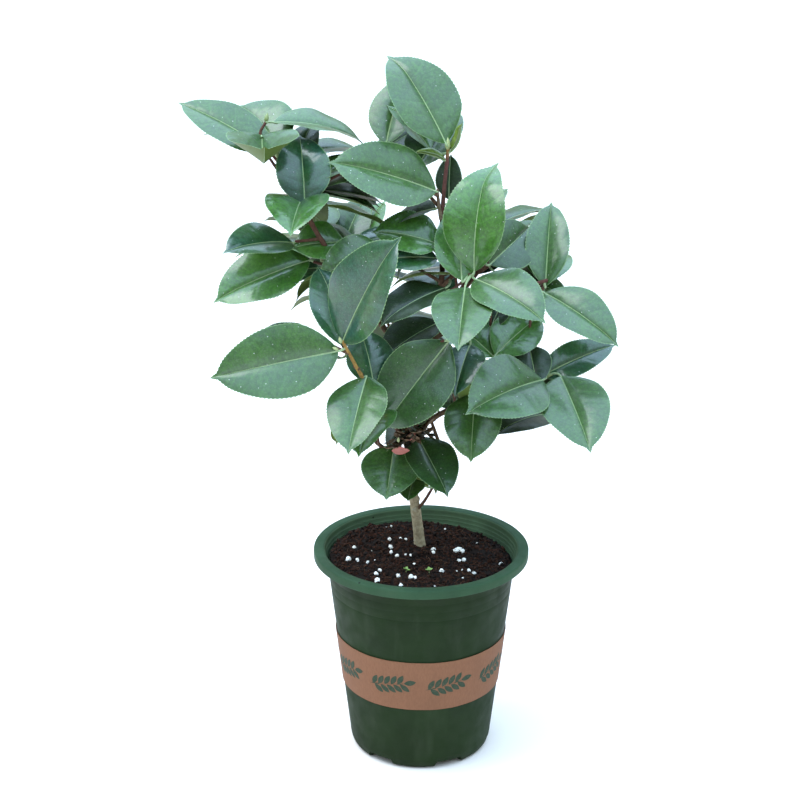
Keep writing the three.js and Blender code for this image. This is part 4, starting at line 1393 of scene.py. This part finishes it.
def close_gaps(rng, crown, wood, wood_pile, piles):
    """Closes each opening inside the crown."""
    rim = (-GAP_RIM, 0, GAP_RIM)
    for x in np.arange(*GAP_SPAN_X, SCREEN_CELL) + SCREEN_CELL / 2:
        for z in np.arange(*GAP_SPAN_Z, SCREEN_CELL) + SCREEN_CELL / 2:
            hole = np.array([x, 0, z])
            around = [hole + (dx, 0, dz) for dx in rim for dz in rim]
            if crown.cells(hole)[0] in crown.screened or not all(crown.covered(p) for p in around):
                continue
            side = "lower_right" if z < GAP_LOWER_Z else "right"
            pile = piles["middle" if x < GAP_MIDDLE_X else side]
            close_gap(rng, crown, hole, wood, wood_pile, pile)


# ---- Buds ----

def add_bud(pile, foot, way, length, slot):
    """A pointed bud of scales laid one over another."""
    rows, sides = 12, 12
    u = np.linspace(0, 1, rows)[:, None]
    theta = np.arange(sides)[None, :] * TURN / sides
    radius = length * 0.24 * np.sin(math.pi * np.clip(u, 0.02, 0.98) ** 0.75) ** 0.8
    scales = 1 + 0.10 * np.sin(2 * theta + 9 * u) * (1 - u)
    path = foot + way * length * u
    _, across, over = frames(path)
    points = path[:, None] + (radius * scales)[..., None] * (
        np.cos(theta)[..., None] * across[:, None] + np.sin(theta)[..., None] * over[:, None])
    first, last = np.arange(sides)[::-1], np.arange(sides) + (rows - 1) * sides
    pile.add(points, [(grid(rows, sides, True), slot), (first, slot), (last, slot)])


def add_burr(twigs, buds, rng):
    """The burr low in the crown: short stubs, brown scales and two pink ones, and round buds."""
    heart = np.array([-9, -24, 268])
    add_twig(twigs, rng, [(-15, -14, 263), (-12, -20, 266), (-7, -27, 271)], 3.0, 2.4, (0.35, 0.5))
    for place in ((-22, -27, 266), (-16, -30, 272), (-3, -28, 276), (3, -24, 278), (-12, -26, 277),
                  (6, -22, 282), (-20, -24, 273), (-6, -30, 270), (8, -20, 275)):
        add_twig(twigs, rng, [heart, (heart + place) / 2 + (0, 1, -1), place], 2.3, 1.5, (0.4, 0.55))
    for _ in range(60):
        heading, rise = rng.uniform(-165, -15), rng.uniform(-30, 60)
        along = rng.uniform(-14, 15)
        base = heart + (along, rng.uniform(-5, 3), 2 + 0.35 * along + rng.uniform(-4, 6))
        scale = Leaf(base, heading, rise, rng.uniform(6, 11), rng.uniform(4, 6.5), 0, -0.1, 0.5, "deep")
        small_leaf(buds, scale, 3 if rng.random() < 0.6 else 4)
    small_leaf(buds, Leaf((-23, -33, 262), -8, 4, 14, 6, 62, -0.10, 0.2, "deep"), 2)
    small_leaf(buds, Leaf((-12, -31, 270), 14, 34, 9, 5, 60, -0.10, 0.2, "deep"), 2)
    add_bud(buds, np.array([-18, -31, 268.0]), unit(np.array([0.1, -0.3, 1])), 5, 1)
    add_bud(buds, np.array([0, -26, 272.0]), unit(np.array([0.3, -0.5, 1])), 8, 4)


# ---- Stage ----

CAMERA_PLACE = (-16.6, -1371, 775)
CAMERA_PITCH = 19.44       # degrees below level
CAMERA_LENS = 85


def make_camera():
    data = bpy.data.cameras.new("camera")
    data.lens = CAMERA_LENS
    data.sensor_width = 36
    camera = put("camera", data)
    camera.location = Vector(CAMERA_PLACE) * MM
    camera.rotation_euler = (math.radians(90 - CAMERA_PITCH), 0, 0)
    bpy.context.scene.camera = camera


def area_light(name, place, aim, size, power, colour):
    data = bpy.data.lights.new(name, "AREA")
    data.shape = "DISK"
    data.size = size
    data.energy = power
    data.color = colour
    light = put(name, data)
    light.location = place
    light.rotation_euler = (Vector(aim) - Vector(place)).to_track_quat("-Z", "Y").to_euler()


def make_lights():
    world = bpy.data.worlds.new("studio")
    bpy.context.scene.world = world
    world.use_nodes = True
    tree = world.node_tree
    background = tree.nodes["Background"]
    place = add_node(tree, "ShaderNodeTexCoord")
    split = add_node(tree, "ShaderNodeSeparateXYZ")
    tree.links.new(place.outputs["Generated"], split.inputs["Vector"])
    sky = ramp(tree, split.outputs["Z"], [
        (0.0, (0.24, 0.24, 0.24)), (0.12, (0.22, 0.23, 0.22)), (0.19, (0.075, 0.08, 0.065)),
        (0.34, (0.10, 0.105, 0.09)), (0.64, (0.47, 0.64, 0.80)), (1, (0.55, 0.76, 1.0))])
    tree.links.new(sky, background.inputs["Color"])
    background.inputs["Strength"].default_value = 4.0
    area_light("soft_top", (-1.2, -0.2, 2.3), (0, 0, 0.3), 1.8, 36, (1.0, 0.97, 0.92))


def make_floor():
    low, high = (0.84, 0.74, 0.68), (0.86, 0.76, 0.70)
    pale = grained("floor", (0.85, 0.75, 0.69), low, high, (3, 2), None, 0.9, 0.1)
    pile = Pile()
    reach = 12000
    corners = [(-reach, -reach, 0), (reach, -reach, 0), (reach, reach, 0), (-reach, reach, 0)]
    pile.add(corners, [([[0, 1, 2, 3]], 0)])
    pile.build("floor", [pale])


# ---- The whole plant ----

def settle(piece, slot, *nodes):
    """Puts a piece on the body, in the place of any nodes it stands for. slot is not used."""
    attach(piece, "root")
    if nodes:
        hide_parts(*nodes)


bpy.context.scene.view_settings.view_transform = "Standard"
BARK = bark_material()
LEAF_MATERIALS = leaf_materials()

settle(make_pot(), "pot", "pot")
settle(make_band(), "band", "band")
settle(make_print(), "band")
ground = np.random.default_rng(11)
settle(make_soil(ground), "soil", "soil")
settle(make_crumbs(ground), "soil")
settle(make_granules(ground), "soil")
settle(make_seedlings(ground), "foliage")

wood = Wood()
growth = np.random.default_rng(7)
for limb_name, limb in LIMBS.items():
    wood.add(make_limb(growth, limb_name, limb))
twigs = Pile()
tips = []
for radius, route, *ages in TWIGS:
    wood.add(add_twig(twigs, growth, route, radius, 1.0, *ages))

crown = Crown(CAMERA_PLACE)
piles = {name: Pile() for name in GROWN}
for name, leaves in SHOWN.items():
    for leaf in leaves:
        crown.place(leaf)
        add_leaf(piles[name], growth, leaf)
        add_petiole(piles[name], leaf, wood)
crown.end_of_shown()
for name in GROWN:
    grow_mass(growth, name, crown, wood, twigs, piles[name], tips)
close_gaps(growth, crown, wood, twigs, piles)
for name, pile in piles.items():
    settle(pile.build("leaves_" + name, LEAF_MATERIALS), "foliage", "foliage_" + name)

buds = Pile()
for place, way in tips:
    add_bud(buds, place, way, growth.uniform(6, 9), 0)
for place, way, length, slot in TIP_BUDS:
    add_bud(buds, np.array(place, float), unit(np.array(way, float)), length, slot)
add_burr(twigs, buds, growth)
BUD_MATERIALS = [
    bud_material("bud_green", (0.16, 0.24, 0.07), (0.30, 0.36, 0.16)),
    bud_material("bud_pale", (0.30, 0.36, 0.14), (0.46, 0.50, 0.26)),
    bud_material("scale_pink", (0.50, 0.12, 0.10), (0.58, 0.24, 0.20)),
    bud_material("scale_brown", (0.09, 0.055, 0.030), (0.20, 0.13, 0.075)),
    bud_material("bud_dark", (0.010, 0.009, 0.006), (0.03, 0.03, 0.015)),
]
settle(buds.build("buds", BUD_MATERIALS), "foliage")
settle(twigs.build("twigs", [BARK], 60), "bark")

make_camera()
make_lights()
make_floor()
